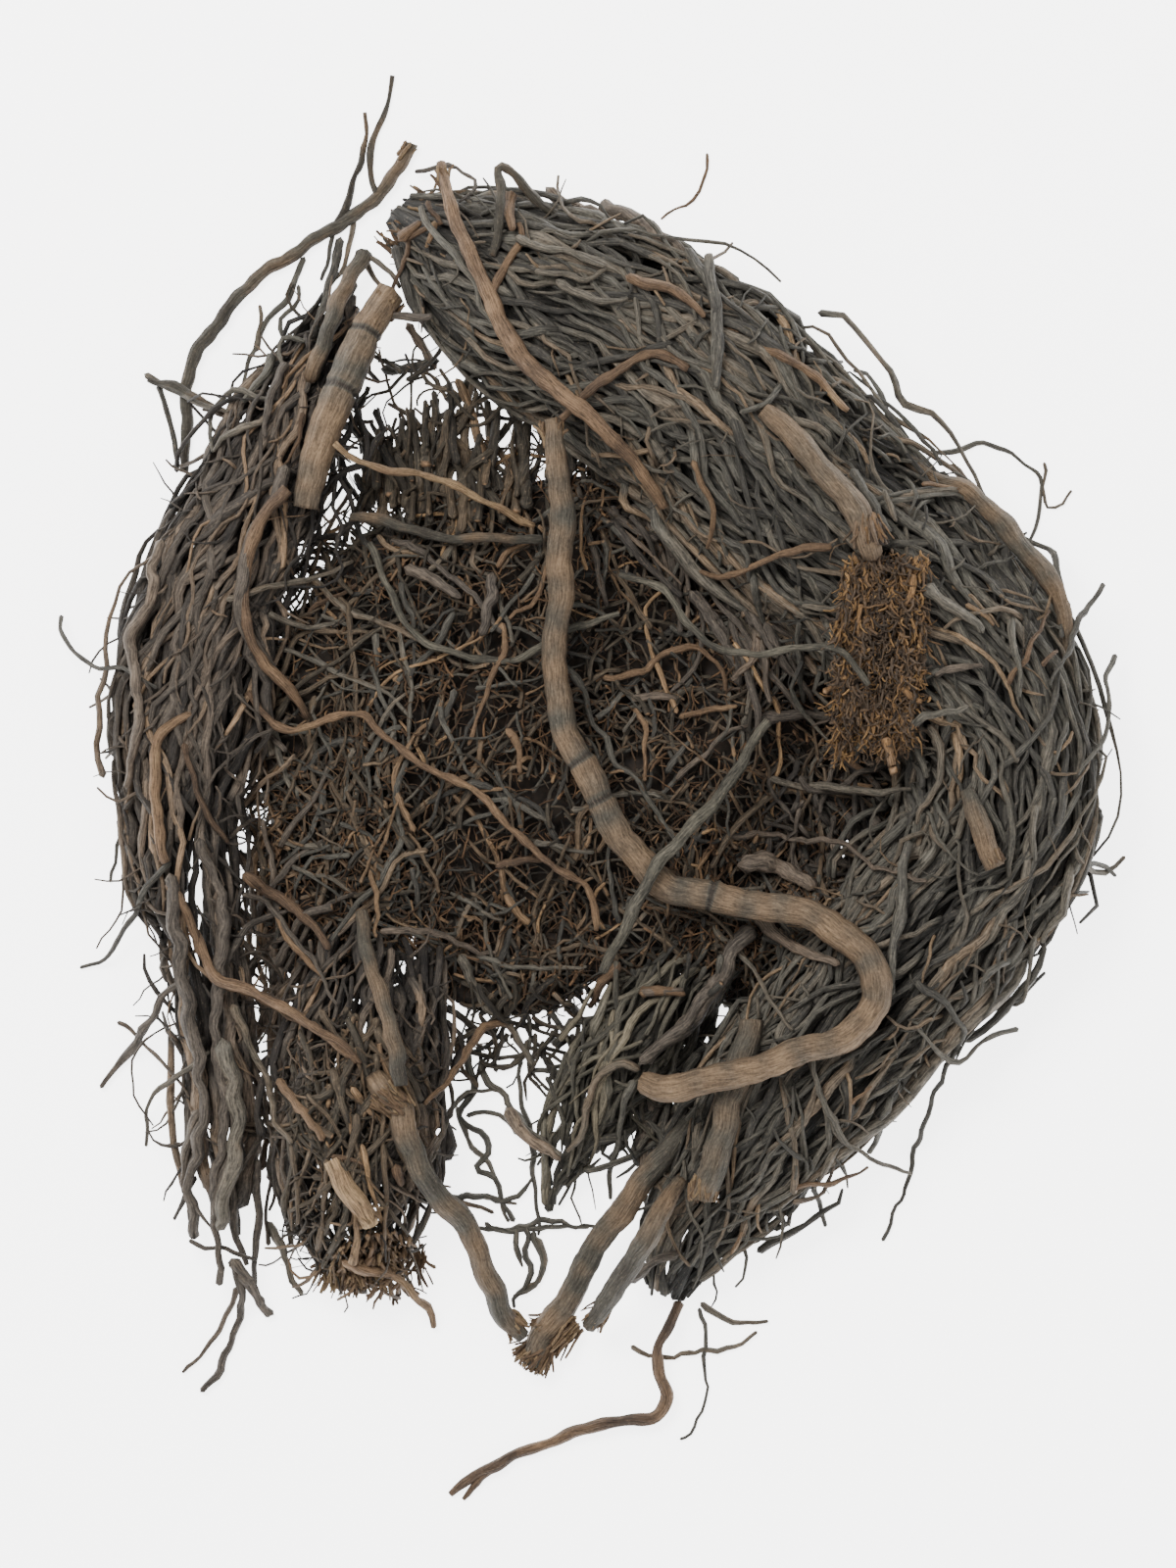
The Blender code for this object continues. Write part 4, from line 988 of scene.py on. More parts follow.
upright = math.pi / 2.0
sweep("mat_brown_rootlets", rootlets(
    1750, mm(4, 16), mm(0.15, 0.65), mm(-4.5, 1.5), (0.05, 1.05), upright, 1.3,
    bend=0.8, jitter=0.26),
    4, 0.25, rootlet_bark, ["rootlet_mat"])
sweep("mat_rust_rootlets", rootlets(
    700, mm(2.5, 8), mm(0.15, 0.45), mm(-4, 1.5), (0.1, 0.9), upright, 1.0,
    bend=0.7, jitter=0.28),
    4, 0.25, rust_bark, ["rootlet_mat"])
sweep("mat_grey_rootlets", rootlets(
    330, mm(9, 36), mm(0.25, 0.9), mm(-3, 2), (0.15, 0.95), steps=13, bend=1.1,
    jitter=0.24),
    5, 0.3, grey_bark, ["rootlet_mat"])
sweep("mat_long_rootlets", rootlets(
    95, mm(16, 46), mm(0.35, 0.95), mm(-1, 2.5), (0.25, 1.0), upright, 0.7, steps=20,
    bend=1.0, jitter=0.2),
    5, 0.3, rootlet_bark, ["rootlet_mat"])
sweep("mat_hairs", rootlets(
    2300, mm(2.5, 9), mm(0.1, 0.25), mm(-3, 2), (0.2, 0.9), upright, 1.4, steps=5,
    bend=0.8, jitter=0.4),
    3, 0.0, rust_bark, ["rootlet_mat"])

# %% [markdown]
# Over the mat, towards the upper left, rootlets hang in a loose net that the floor shows through. They
# stand up out of the mat side by side, brown and rust, and thinner ones cross them.

# %% The hanging net
NET = [lobe(455, 505, 88, 36, 9 * MM)]
NET_HEAD = [lobe(440, 410, 80, 60, 6 * MM)]
NET_FOOT = [lobe(400, 540, 90, 30, 5 * MM)]
net = rootlets(95, mm(7, 20), mm(0.6, 1.6), mm(-3, 5), (0.05, 0.75), upright, 0.22,
               steps=9, bend=0.35, jitter=0.12, lobes=NET)
net += rootlets(34, mm(10, 30), mm(0.25, 0.7), mm(-2, 6), (0.1, 0.6), steps=12, lobes=NET_HEAD)
net += rootlets(26, mm(8, 24), mm(0.3, 0.8), mm(0, 3), (0.1, 0.7), steps=12, lobes=NET_FOOT)
sweep("hanging_net", net, 5, 0.25, rootlet_bark, ["rootlet_mat"])

# %% [markdown]
# The inner side of the big hank isn't tidy. Roots leave it towards the mat, steeper than the hank runs,
# and end in the open.

# %% Ends on the inner side of the big hank
DOWN_RIGHT = -1.05
INNER_TOP = [lobe(690, 500, 105, 52, 21 * MM), lobe(770, 590, 85, 60, 19 * MM)]
INNER_RIGHT = [lobe(850, 830, 70, 95, 16 * MM)]
INNER_GAP = [lobe(905, 800, 30, 110, 10 * MM), lobe(868, 878, 50, 45, 10 * MM)]
inner = rootlets(95, mm(10, 28), mm(0.5, 1.5), mm(-1, 5), (0.25, 0.85), DOWN_RIGHT, 0.45,
                 steps=12, bend=0.5, jitter=0.14, lobes=INNER_TOP)
inner += rootlets(55, mm(9, 26), mm(0.4, 1.2), mm(-2, 4), (0.15, 0.7), DOWN_RIGHT, 1.2,
                  steps=12, bend=0.6, jitter=0.18, lobes=INNER_RIGHT)
inner += rootlets(90, mm(10, 26), mm(0.6, 1.3), mm(-10, -2), (0.0, 0.4), upright, 0.5,
                  steps=8, bend=0.6, jitter=0.14, lobes=INNER_GAP)
sweep("main_hank_inner_ends", inner, 5, 0.28, brown_bark, ["main_hank"])

# %% [markdown]
# Between the hanks, and where the mat meets them, roots of the same kinds cross over and close the
# gaps, but not quite.

# %% Roots between the hanks
BY_SIDE_HANK = [lobe(268, 1110, 34, 170, 6 * MM)]
OVER_SIDE_HANK = [lobe(255, 880, 30, 150, 6 * MM)]
BY_TASSEL = [lobe(700, 1050, 62, 95, 10 * MM)]
LOWER_EDGE = [lobe(525, 1035, 100, 45, 5 * MM)]
DOWN_LEFT = -2.03
seam = rootlets(48, mm(12, 34), mm(0.5, 1.3), mm(-1, 3), (0.45, 1.0), upright, 0.3,
                steps=12, bend=0.5, jitter=0.16, lobes=BY_SIDE_HANK)
seam += rootlets(16, mm(10, 26), mm(0.4, 1.1), mm(0, 5), (0.45, 1.0), upright, 0.5,
                 steps=12, bend=0.6, jitter=0.18, lobes=OVER_SIDE_HANK)
sweep("roots_by_side_hank", seam, 6, 0.28, brown_bark, [])
seam = rootlets(80, mm(10, 30), mm(0.6, 1.4), mm(0, 7), (0.25, 0.7), DOWN_LEFT, 0.35,
                steps=12, bend=0.5, jitter=0.16, lobes=BY_TASSEL)
sweep("roots_by_tassel", seam, 6, 0.28, grey_bark, [])
fringe = rootlets(65, mm(6, 18), mm(0.3, 0.9), mm(0, 4), (0.0, 0.6), -upright, 1.1,
                  steps=9, bend=1.1, jitter=0.3, lobes=LOWER_EDGE)
sweep("mat_lower_fringe", fringe, 6, 0.28, rootlet_bark, [])

# %% [markdown]
# Short brown rootlets like those of the mat lie over the lower hank too.


# %% Rootlets on the lower hank
LOWER_TOP = [lobe(352, 1110, 66, 85, 0.0), lobe(350, 1250, 52, 50, 0.0)]
LOWER_MIDDLE = [lobe(352, 1110, 66, 90, 0.0)]
fuzz = rootlets(330, mm(4, 11), mm(0.12, 0.4), mm(-3, 0.8), (0.1, 0.9), -upright, 1.0,
                steps=8, bend=0.9, jitter=0.35, lobes=LOWER_TOP, top=heap_top)
fuzz += rootlets(55, mm(12, 30), mm(0.45, 1.2), mm(-1.5, 1), (0.25, 0.95), -upright, 0.45,
                 steps=12, bend=0.6, jitter=0.16, lobes=LOWER_MIDDLE, top=heap_top)
sweep("lower_hank_rootlets", fuzz, 5, 0.3, rootlet_bark, ["lower_hank"])


# %% [markdown]
# The lower hank was cut off and then frayed, so it ends in short stiff fibres of pale wood. The
# upper end of the big hank has such fibres too, but fewer.


# %% Torn ends
TORN_STEPS = 6


def torn(hank, end, count, lengths, radii, tones, outs=(0.0, 1.0), turns=(0.0, math.tau)):
    """Short fibres past one end of a hank, where end is 0 or 1."""
    items = []
    at = np.array([end * hank.length])
    way = hank.read(at, hank.left)[0]
    along = np.array((way[1], -way[0])) * (1.0 if end else -1.0)
    for _ in range(count):
        angle, out = np.array([rng.uniform(*turns)]), np.sqrt([rng.uniform(*outs)])
        radius = rng.uniform(*radii)
        start = hank.place(at, angle, out, radius)[0]
        start[:2] -= along * rng.uniform(1.0, 7.0) * MM
        heading = math.atan2(along[1], along[0]) + rng.normal(0.0, 0.3)
        places = walk(start[:2], heading, rng.uniform(*lengths), TORN_STEPS, rng.normal(0.0, 0.4), 0.18)
        z = start[2] + rng.normal(0.0, 0.12) * np.linalg.norm(places - places[0], axis=1)
        size = radius * np.linspace(1.0, 0.6, TORN_STEPS)
        items.append(root(np.column_stack([places, z]), size, rng.uniform(*tones), 1, 1))
    return items


UPWARD = (0.1 * math.pi, 0.9 * math.pi)
rim = torn(lower_hank, 1, 330, mm(2, 7), mm(0.2, 0.7), (0.5, 1.0))
rim += torn(lower_hank, 1, 190, mm(2, 6), mm(0.2, 0.6), (0.5, 1.1), (0.85, 1.25), UPWARD)
sweep("lower_hank_torn_end", rim, 4, 0.2, tan_bark, ["lower_hank"])
sweep("main_hank_torn_end", torn(main_hank, 0, 130, mm(2, 5.5), mm(0.2, 0.7), (0.3, 0.95)),
      4, 0.2, tan_bark, ["main_hank"])

# %% [markdown]
# The stout root on the right ends in bark that came apart into rust-coloured fibres. They run the
# way the root ran, many deep, and the outermost curl away.

# %% The frayed bark
TUFT = [(903, 574, 38), (897, 640, 46), (894, 712, 44), (890, 768, 34)]
tuft_rows = smooth(metres(TUFT), 2 * MM)
tuft_tree = solid_tree("fibre_tuft")
tuft_run = np.linspace(0.0, 1.0, len(tuft_rows))
NEARBY = ((0, 0), (2, 0), (-2, 0), (0, 2), (0, -2), (4, 0), (-4, 0), (0, 4), (0, -4))
TUFT_HEIGHT = 30 * MM
FIBRE_STEPS = 4


def tuft_top(xy):
    """Height of the frayed bark over places, taken from its solid where there is one."""
    found = []
    for x, y in xy:
        tops = [solid_top(tuft_tree, x + dx * MM, y + dy * MM) for dx, dy in NEARBY]
        hits = [top for top in tops if top is not None]
        found.append(sum(hits) / len(hits) if hits else np.nan)
    found = np.array(found)
    found[np.isnan(found)] = np.nanmean(found) if not np.isnan(found).all() else TUFT_HEIGHT
    return found


def fibres(clumps, edge_tones, inner_tones):
    """Fibres in clumps, which share a heading and a tone. The clumps at the sides are the more orange."""
    items = []
    for _ in range(clumps):
        share, across = rng.uniform(-0.06, 0.98), rng.uniform(-0.95, 0.95)
        middle = np.array([np.interp(share, tuft_run, column) for column in tuft_rows.T])
        start = middle[:2] + np.array((1.0, 0.0)) * across * middle[2]
        outer = abs(across) > 0.7 or share > 0.9
        heading = -upright + rng.normal(0.0, 0.22)
        tone = rng.uniform(*(edge_tones if outer else inner_tones))
        sunk = rng.uniform(-2.5 * MM, 1.0 * MM)
        height = tuft_top(start[None])[0] + sunk
        for _ in range(rng.integers(4, 11)):
            places = walk(start + rng.normal(0.0, 0.9 * MM, 2), heading + rng.normal(0.0, 0.35),
                          rng.uniform(1.0 * MM, 4.5 * MM), FIBRE_STEPS, rng.normal(0.0, 1.1), 0.45)
            radius = rng.uniform(0.12 * MM, 0.42 * MM)
            curl = rng.uniform(-0.5, 1.0) * MM * np.linspace(0.0, 1.0, FIBRE_STEPS) ** 2
            z = height + rng.normal(0.0, 0.5 * MM) + curl
            size = radius * np.linspace(1.0, 0.6, FIBRE_STEPS) * (1.0 + rng.normal(0.0, 0.25, FIBRE_STEPS))
            items.append(root(np.column_stack([places, z]), size, tone + rng.normal(0.0, 0.17)))
    return items


FLAKES = [
    (9, [(930, 588), (929, 604), (921, 618), (918, 628)]), (8, [(876, 618), (872, 636), (876, 652)]),
    (8, [(872, 716), (874, 734), (882, 748)]), (13, [(902, 754), (907, 770), (912, 786)]),
    (9, [(918, 700), (926, 712), (938, 718)]), (7, [(860, 690), (850, 700), (840, 705)]),
]
loose = fibres(430, (0.5, 0.98), (0.34, 0.88))
for width, route in FLAKES:
    rows = smooth(metres([(*spot, width / 2) for spot in route]), 0.8 * MM)
    loose.append(weathered(rows, tuft_top(rows[:, :2]) + 0.6 * MM, 0.8))
sweep("tuft_fibres", loose, 4, 0.3, fray_bark, ["fibre_tuft"])

# %% [markdown]
# Stout roots broke off and didn't get cut, so a brush of pale splinters stands at such ends.

# %% Splintered ends
SPLINTERS = [
    ("ankle_root", (392, 1112), 2.4, 16, 150, 1.3), ("twin_root_inner", (540, 1396), -2.2, 16, 200, 1.5),
    ("twin_root_inner", (556, 1372), -2.45, 19, 200, 1.5), ("twin_root_outer", (604, 1352), -2.2, 8, 40, 1.0),
    ("stump_root", (717, 1222), -1.7, 15, 70, 1.0), ("bent_root", (562, 434), 1.6, 9, 40, 1.0),
    ("lower_stub", (376, 1246), -1.1, 10, 60, 1.0), ("stout_root", (396, 302), 1.0, 16, 50, 1.0),
    ("arc_root", (416, 143), 1.0, 7, 25, 0.8), ("cut_stub", (1012, 880), -1.2, 11, 30, 0.6),
]
RUST_SPLINTERS = ("right_stout_root", (885, 556), -1.45, 14, 130, 1.2, (0.1, 0.8))
SPLINTER_STEPS = 5


def splinters(name, place, heading, half, count, size, tones=(0.45, 1.05)):
    """Short fibres that lie on the last bit of a root and stick out of its end."""
    end = metres([(*place, half)])
    height = heights_of(solid_tree(name), end)[0]
    way = np.array((math.cos(heading), math.sin(heading)))
    side = np.array((-way[1], way[0]))
    items = []
    for _ in range(count):
        turn, out = rng.uniform(0.0, math.tau), math.sqrt(rng.uniform(0.2, 1.0)) * end[0, 2]
        length = size * rng.uniform(1.5, 5.0) * MM
        start = end[0, :2] + side * math.cos(turn) * out - way * length * rng.uniform(0.75, 1.1)
        lean = heading + rng.normal(0.0, 0.1)
        places = walk(start, lean, length, SPLINTER_STEPS, rng.normal(0.0, 0.3), 0.14)
        z = height + math.sin(turn) * out + rng.normal(0.0, 0.12) * np.linalg.norm(places - start, axis=1)
        radii = rng.uniform(0.2, 0.65) * MM * np.linspace(1.0, 0.6, SPLINTER_STEPS)
        items.append(root(np.column_stack([places, z]), radii, rng.uniform(*tones)))
    return items


broken = [item for row in SPLINTERS for item in splinters(*row)]
sweep("splintered_ends", broken, 4, 0.2, tan_bark, [])
sweep("right_root_frayed_end", splinters(*RUST_SPLINTERS), 4, 0.2, fray_bark, ["fibre_tuft"])

# %% [markdown]
# Hardly any root ends neatly inside its hank. Thin wiry ones leave it everywhere, stand off its side
# and hang down to the floor, and short side rootlets stick out of its top. They break up the
# outline, and without them the hanks would look like rope.


# %% Loose ends and side rootlets
ROOM = np.abs(np.array(cad_box)[:, :2]).max(axis=0) + 5 * MM
STRAY = 12 * MM  # how far off its hank's side a loose end may get


def wisps(hank, count, lengths, radii, sides, tones, spread=(0.25, 1.1), droop=0.6, ends=(0.0, 1.0)):
    """Thin roots that leave a hank: sides are the angles round its section where they start."""
    items = []
    for _ in range(count):
        at = np.array([rng.uniform(*ends) * hank.length])
        angle = np.array([rng.uniform(*sides)])
        if rng.random() < 0.5:
            angle = math.pi - angle
        radius = rng.uniform(*radii)
        start = hank.place(at, angle, np.array([0.8]), radius)[0]
        left = hank.read(at, hank.left)[0]
        along = np.array((left[1], -left[0])) * (1.0 if rng.random() < 0.75 else -1.0)
        outward = left * math.copysign(1.0, math.cos(angle[0]))
        lean = rng.uniform(*spread)
        way = along * math.cos(lean) + outward * math.sin(lean)
        length = rng.uniform(*lengths)
        steps = max(6, round(length / (2.2 * MM)))
        places = walk(start[:2], math.atan2(way[1], way[0]), length, steps, rng.normal(0.0, 1.0), 0.26)
        if (np.abs(places) > ROOM).any():
            continue
        share = np.linspace(0.0, 1.0, steps)
        ground = heap_top(places)
        fall = start[2] * (1.0 - droop * share) + rng.uniform(0.0, 0.12) * length * np.sin(math.pi * share)
        z = np.maximum(fall, ground * (share > 0.3) + radius)
        z = np.maximum(np.convolve(np.pad(z, 1, mode="edge"), (0.25, 0.5, 0.25), mode="valid"), radius)
        size = thickness(rng, radius, steps, 0.55)
        loose_end = root(np.column_stack([places, z]), size, rng.uniform(*tones))
        if ((places - places[0]) @ outward).max() < STRAY:
            items.append(loose_end)
    return items


SIDEWAYS, ON_TOP = (-0.3, 0.5), (0.2, 2.9)
CLOSE = (0.1, 0.7)
ALONG = (0.03, 0.93)
sweep("main_hank_loose_ends", wisps(
    main_hank, 130, mm(4, 12), mm(0.2, 0.6), SIDEWAYS, (0.2, 0.8), CLOSE, ends=ALONG)
    + wisps(main_hank, 26, mm(15, 32), mm(0.3, 0.6), SIDEWAYS, (0.2, 0.8), ends=(0.1, 0.9))
    + wisps(main_hank, 60, mm(10, 26), mm(0.5, 1.15), SIDEWAYS, (0.25, 0.85), (0.03, 0.35), ends=ALONG)
    + wisps(main_hank, 260, mm(4, 14), mm(0.2, 0.5), ON_TOP, (0.25, 0.95), droop=0.1),
    5, 0.2, grey_bark, ["main_hank"])
sweep("side_hank_loose_ends", wisps(
    side_hank, 100, mm(4, 14), mm(0.2, 0.65), SIDEWAYS, (0.2, 0.85), CLOSE, ends=ALONG)
    + wisps(side_hank, 24, mm(14, 30), mm(0.3, 0.65), SIDEWAYS, (0.2, 0.85), ends=ALONG)
    + wisps(side_hank, 130, mm(4, 14), mm(0.2, 0.5), ON_TOP, (0.25, 0.95), droop=0.1, ends=(0.0, 0.8)),
    5, 0.2, brown_bark, ["side_hank"])
sweep("lower_hank_loose_ends", wisps(
    lower_hank, 50, mm(4, 12), mm(0.2, 0.55), SIDEWAYS, (0.2, 0.85), CLOSE)
    + wisps(lower_hank, 90, mm(4, 12), mm(0.2, 0.5), ON_TOP, (0.25, 0.95), droop=0.1),
    5, 0.2, brown_bark, ["lower_hank"])
sweep("tassel_loose_ends", wisps(
    tassel, 50, mm(4, 12), mm(0.2, 0.55), SIDEWAYS, (0.3, 0.8), CLOSE),
    5, 0.2, green_bark, ["tassel"])

# %% [markdown]
# Then come the single thin roots that the eye picks out in the photograph. Each is a route with its
# width, and lies on the heap or on the floor.

# %% Thin single roots
GREY_TRAILS = [
    (8, [(147, 381), (172, 394), (230, 421)]), (8, [(161, 390), (168, 432), (180, 471)]),
    (8, [(1044, 543), (1079, 569), (1085, 609), (1085, 649)]),
    (14, [(700, 259), (714, 276), (723, 287), (732, 336), (731, 394)]),
    (12, [(869, 485), (887, 514), (907, 543)]), (8, [(901, 505), (912, 531)]),
    (6, [(872, 375), (895, 388), (912, 434), (953, 480)]),
    (6, [(944, 457), (970, 457), (1004, 451), (1039, 460), (1065, 485), (1067, 508), (1056, 548)]),
    (5, [(1070, 468), (1070, 508), (1082, 517), (1099, 497)]),
    (7, [(1128, 596), (1096, 646), (1070, 700)]), (7, [(1140, 666), (1132, 692), (1130, 745), (1100, 790)]),
    (6, [(57, 625), (62, 655), (100, 680), (128, 685), (160, 700)]),
    (6, [(117, 783), (117, 859), (108, 897)]),
    (7, [(170, 880), (144, 916), (126, 946), (110, 974), (78, 990)]),
    (6, [(210, 1074), (182, 1099), (151, 1122), (144, 1173)]),
    (8, [(576, 680), (594, 703), (612, 749), (637, 784), (658, 810), (676, 836), (691, 871)]),
    (8, [(1054, 823), (1054, 878)]),
    (13, [(926, 862), (920, 901), (913, 954), (907, 1011)]), (7, [(730, 945), (768, 991), (806, 1049)]),
    (7, [(467, 1134), (482, 1174), (505, 1208), (519, 1251)]),
    (7, [(493, 1254), (516, 1260), (551, 1257), (602, 1257)]), (7, [(467, 1225), (502, 1228), (528, 1231)]),
    (7, [(528, 1263), (530, 1297)]), (7, [(545, 1263), (553, 1294), (545, 1314), (525, 1329)]),
    (7, [(648, 1380), (678, 1391), (716, 1385), (747, 1380), (772, 1365)]),
    (7, [(720, 1337), (747, 1353), (787, 1355)]), (5, [(716, 1341), (722, 1410), (711, 1464), (693, 1475)]),
    (7, [(1040, 1050), (1005, 1064), (975, 1083), (935, 1050)]),
    (7, [(935, 1000), (982, 1049), (967, 1091), (952, 1125), (932, 1198), (906, 1267)]),
    (7, [(825, 1076), (844, 1133), (875, 1175), (932, 1200)]), (6, [(1056, 956), (1046, 1017), (1030, 1030)]),
    (9, [(651, 1088), (614, 1094), (599, 1137), (579, 1180)]),
    (9, [(427, 209), (441, 233), (456, 253), (480, 280), (488, 304), (502, 332), (518, 349)]),
    (9, [(528, 245), (547, 253), (577, 258), (597, 268), (617, 274)]),
    (7, [(551, 282), (577, 284), (597, 286), (619, 276)]),
    (9, [(567, 288), (591, 304), (615, 310), (638, 306)]),
    (7, [(360, 217), (356, 241), (346, 264), (336, 288)]), (7, [(370, 256), (389, 292), (395, 298)]),
    (12, [(389, 373), (419, 369), (445, 365)]), (6, [(429, 375), (449, 393), (468, 401), (480, 415)]),
    (10, [(236, 1030), (254, 1067), (269, 1097), (280, 1141), (299, 1164)]),
    (22, [(228, 1067), (239, 1119), (239, 1179), (228, 1223), (221, 1253)]),
    (10, [(273, 1253), (287, 1290), (306, 1323)]),
    (9, [(477, 1080), (482, 1118), (468, 1136), (477, 1155), (493, 1161), (497, 1180), (486, 1196),
         (505, 1211), (514, 1230), (521, 1252)]),
    (9, [(493, 1085), (493, 1105), (511, 1121), (533, 1146), (555, 1168), (568, 1180)]),
    (8, [(450, 1225), (464, 1227), (493, 1224), (511, 1230), (524, 1227), (543, 1205)]),
    (7, [(489, 1255), (511, 1258), (536, 1258), (555, 1249), (571, 1249), (586, 1255), (611, 1258)]),
    (7, [(536, 1258), (539, 1274), (536, 1289), (541, 1305), (527, 1327), (524, 1339)]),
    (7, [(544, 1264), (553, 1289), (552, 1308), (536, 1317)]), (7, [(527, 1261), (525, 1277), (531, 1299)]),
    (7, [(439, 1186), (449, 1161), (461, 1130), (480, 1117), (517, 1119)]),
    (7, [(477, 1142), (499, 1139), (514, 1142), (524, 1161)]),
    (7, [(530, 1086), (533, 1130), (541, 1167), (546, 1211), (547, 1261)]),
    (9, [(646, 1105), (633, 1149), (625, 1192), (624, 1227)]),
    (12, [(471, 977), (493, 1024), (511, 1043), (539, 1077), (546, 1089)]),
    (7, [(486, 974), (524, 988), (561, 989), (599, 986)]),
    (8, [(233, 610), (263, 602), (294, 597), (320, 587), (358, 573)]),
    (7, [(410, 645), (418, 711), (420, 762)]),
    (7, [(410, 745), (390, 748), (378, 768), (375, 800), (378, 826)]),
    (8, [(413, 780), (404, 808), (408, 860), (395, 886), (372, 914), (338, 960)]),
    (7, [(447, 719), (470, 774), (485, 794)]), (7, [(545, 857), (575, 866), (605, 869)]),
    (7, [(493, 814), (533, 823), (565, 846)]), (9, [(275, 737), (287, 775), (295, 808)]),
    (7, [(330, 808), (312, 857), (275, 889)]), (7, [(352, 871), (321, 877), (301, 906)]),
    (7, [(284, 662), (318, 673), (358, 693), (396, 708), (418, 731)]),
    (7, [(275, 627), (312, 639), (341, 636)]),
    (8, [(318, 593), (361, 625), (413, 645), (476, 673)]), (9, [(786, 793), (836, 804), (929, 807)]),
    (7, [(898, 824), (873, 843), (853, 863)]), (9, [(949, 740), (957, 762), (954, 799), (935, 841)]),
    (7, [(814, 636), (815, 672), (820, 714)]), (15, [(946, 602), (971, 622), (999, 644)]),
    (9, [(679, 790), (688, 773), (705, 756)]),
    (7, [(309, 257), (297, 285), (286, 306), (272, 317), (265, 333), (258, 351), (247, 369), (244, 394)]),
    (6, [(304, 287), (297, 306), (288, 319), (285, 335), (284, 344), (277, 353)]),
    (11, [(345, 240), (340, 268), (331, 290), (325, 315), (318, 340)]),
    (6, [(335, 233), (331, 255), (329, 281)]),
    (7, [(308, 344), (294, 341), (286, 346), (285, 362), (290, 374)]),
    (7, [(270, 405), (254, 401), (238, 398), (224, 408), (213, 424), (211, 440), (215, 460)]),
    (9, [(269, 424), (247, 439), (229, 449), (217, 460)]),
    (10, [(274, 358), (272, 376), (265, 389), (249, 405)]),
    (6, [(376, 260), (397, 276), (408, 289)]), (7, [(256, 352), (262, 336), (263, 318), (262, 308)]),
]
BROWN_TRAILS = [
    (15, [(166, 556), (154, 580), (156, 604), (146, 630), (131, 653), (139, 690), (141, 730), (134, 780),
          (128, 800)]),
    (14, [(289, 480), (279, 511), (256, 551), (246, 595), (247, 633), (266, 669), (291, 697), (311, 725)]),
    (16, [(230, 1110), (240, 1148), (233, 1186), (220, 1224), (218, 1250)]),
    (12, [(200, 1135), (189, 1173), (187, 1212), (192, 1232), (195, 1263)]),
    (10, [(190, 1000), (164, 1018), (141, 1059), (116, 1089), (98, 1110)]),
    (5, [(113, 1046), (141, 1064), (167, 1089), (189, 1120)]),
    (16, [(499, 588), (502, 611), (494, 644)]), (14, [(419, 579), (467, 607)]),
    (24, [(761, 883), (792, 881), (829, 907)]), (18, [(731, 1002), (711, 1036), (680, 1065), (657, 1082)]),
    (22, [(668, 1122), (660, 1165), (657, 1194)]), (10, [(657, 1012), (694, 1012)]),
    (14, [(642, 1306), (668, 1292), (688, 1283)]),
    (7, [(246, 913), (279, 931), (304, 962), (345, 1023)]),
    (8, [(230, 982), (251, 946), (281, 936), (303, 920)]), (12, [(242, 1303), (261, 1330), (276, 1349)]),
    (10, [(236, 1290), (242, 1322), (238, 1364), (219, 1403), (200, 1426)]),
    (7, [(238, 1320), (230, 1345), (207, 1380), (184, 1406)]),
    (7, [(240, 1199), (269, 1158), (274, 1186), (274, 1237)]),
    (16, [(173, 897), (180, 953), (187, 1008), (202, 1090), (206, 1141), (199, 1175), (191, 1216),
          (197, 1264)]),
    (14, [(202, 860), (221, 901), (228, 934), (224, 982), (221, 1016), (219, 1067), (228, 1119), (226, 1167),
          (217, 1212), (219, 1260), (224, 1312)]),
    (9, [(261, 1186), (261, 1238), (258, 1290), (254, 1323)]), (7, [(191, 1271), (221, 1277), (258, 1286)]),
    (14, [(239, 1293), (254, 1319), (273, 1345)]), (12, [(397, 320), (425, 324), (441, 320)]),
    (12, [(419, 331), (429, 353), (445, 369)]),
    (6, [(425, 168), (441, 167), (456, 166), (468, 173), (484, 181), (482, 193), (470, 205)]),
    (18, [(517, 1139), (536, 1161), (568, 1183)]), (22, [(671, 1118), (661, 1149), (649, 1192)]),
    (18, [(761, 949), (730, 1005), (689, 1055), (661, 1083)]),
    (8, [(390, 952), (436, 949), (459, 960), (487, 972), (505, 972)]),
    (9, [(398, 550), (436, 567), (470, 596), (513, 645)]), (13, [(780, 734), (814, 728), (859, 734)]),
    (7, [(820, 818), (803, 835), (806, 855), (814, 877), (828, 905)]),
    (7, [(747, 852), (808, 855), (864, 863), (893, 885), (943, 897)]),
    (11, [(954, 692), (977, 681), (999, 679)]),
    (7, [(690, 796), (713, 773), (744, 748), (763, 742)]), (9, [(646, 712), (688, 712)]),
    (16, [(772, 939), (808, 964), (853, 984)]),
    (18, [(620, 205), (645, 222), (672, 240), (700, 258)]), (14, [(560, 190), (590, 208), (625, 215)]),
    (6, [(811, 1226), (838, 1221), (846, 1207), (852, 1187)]),
    (11, [(288, 371), (283, 381), (279, 399), (272, 424), (269, 442)]),
]
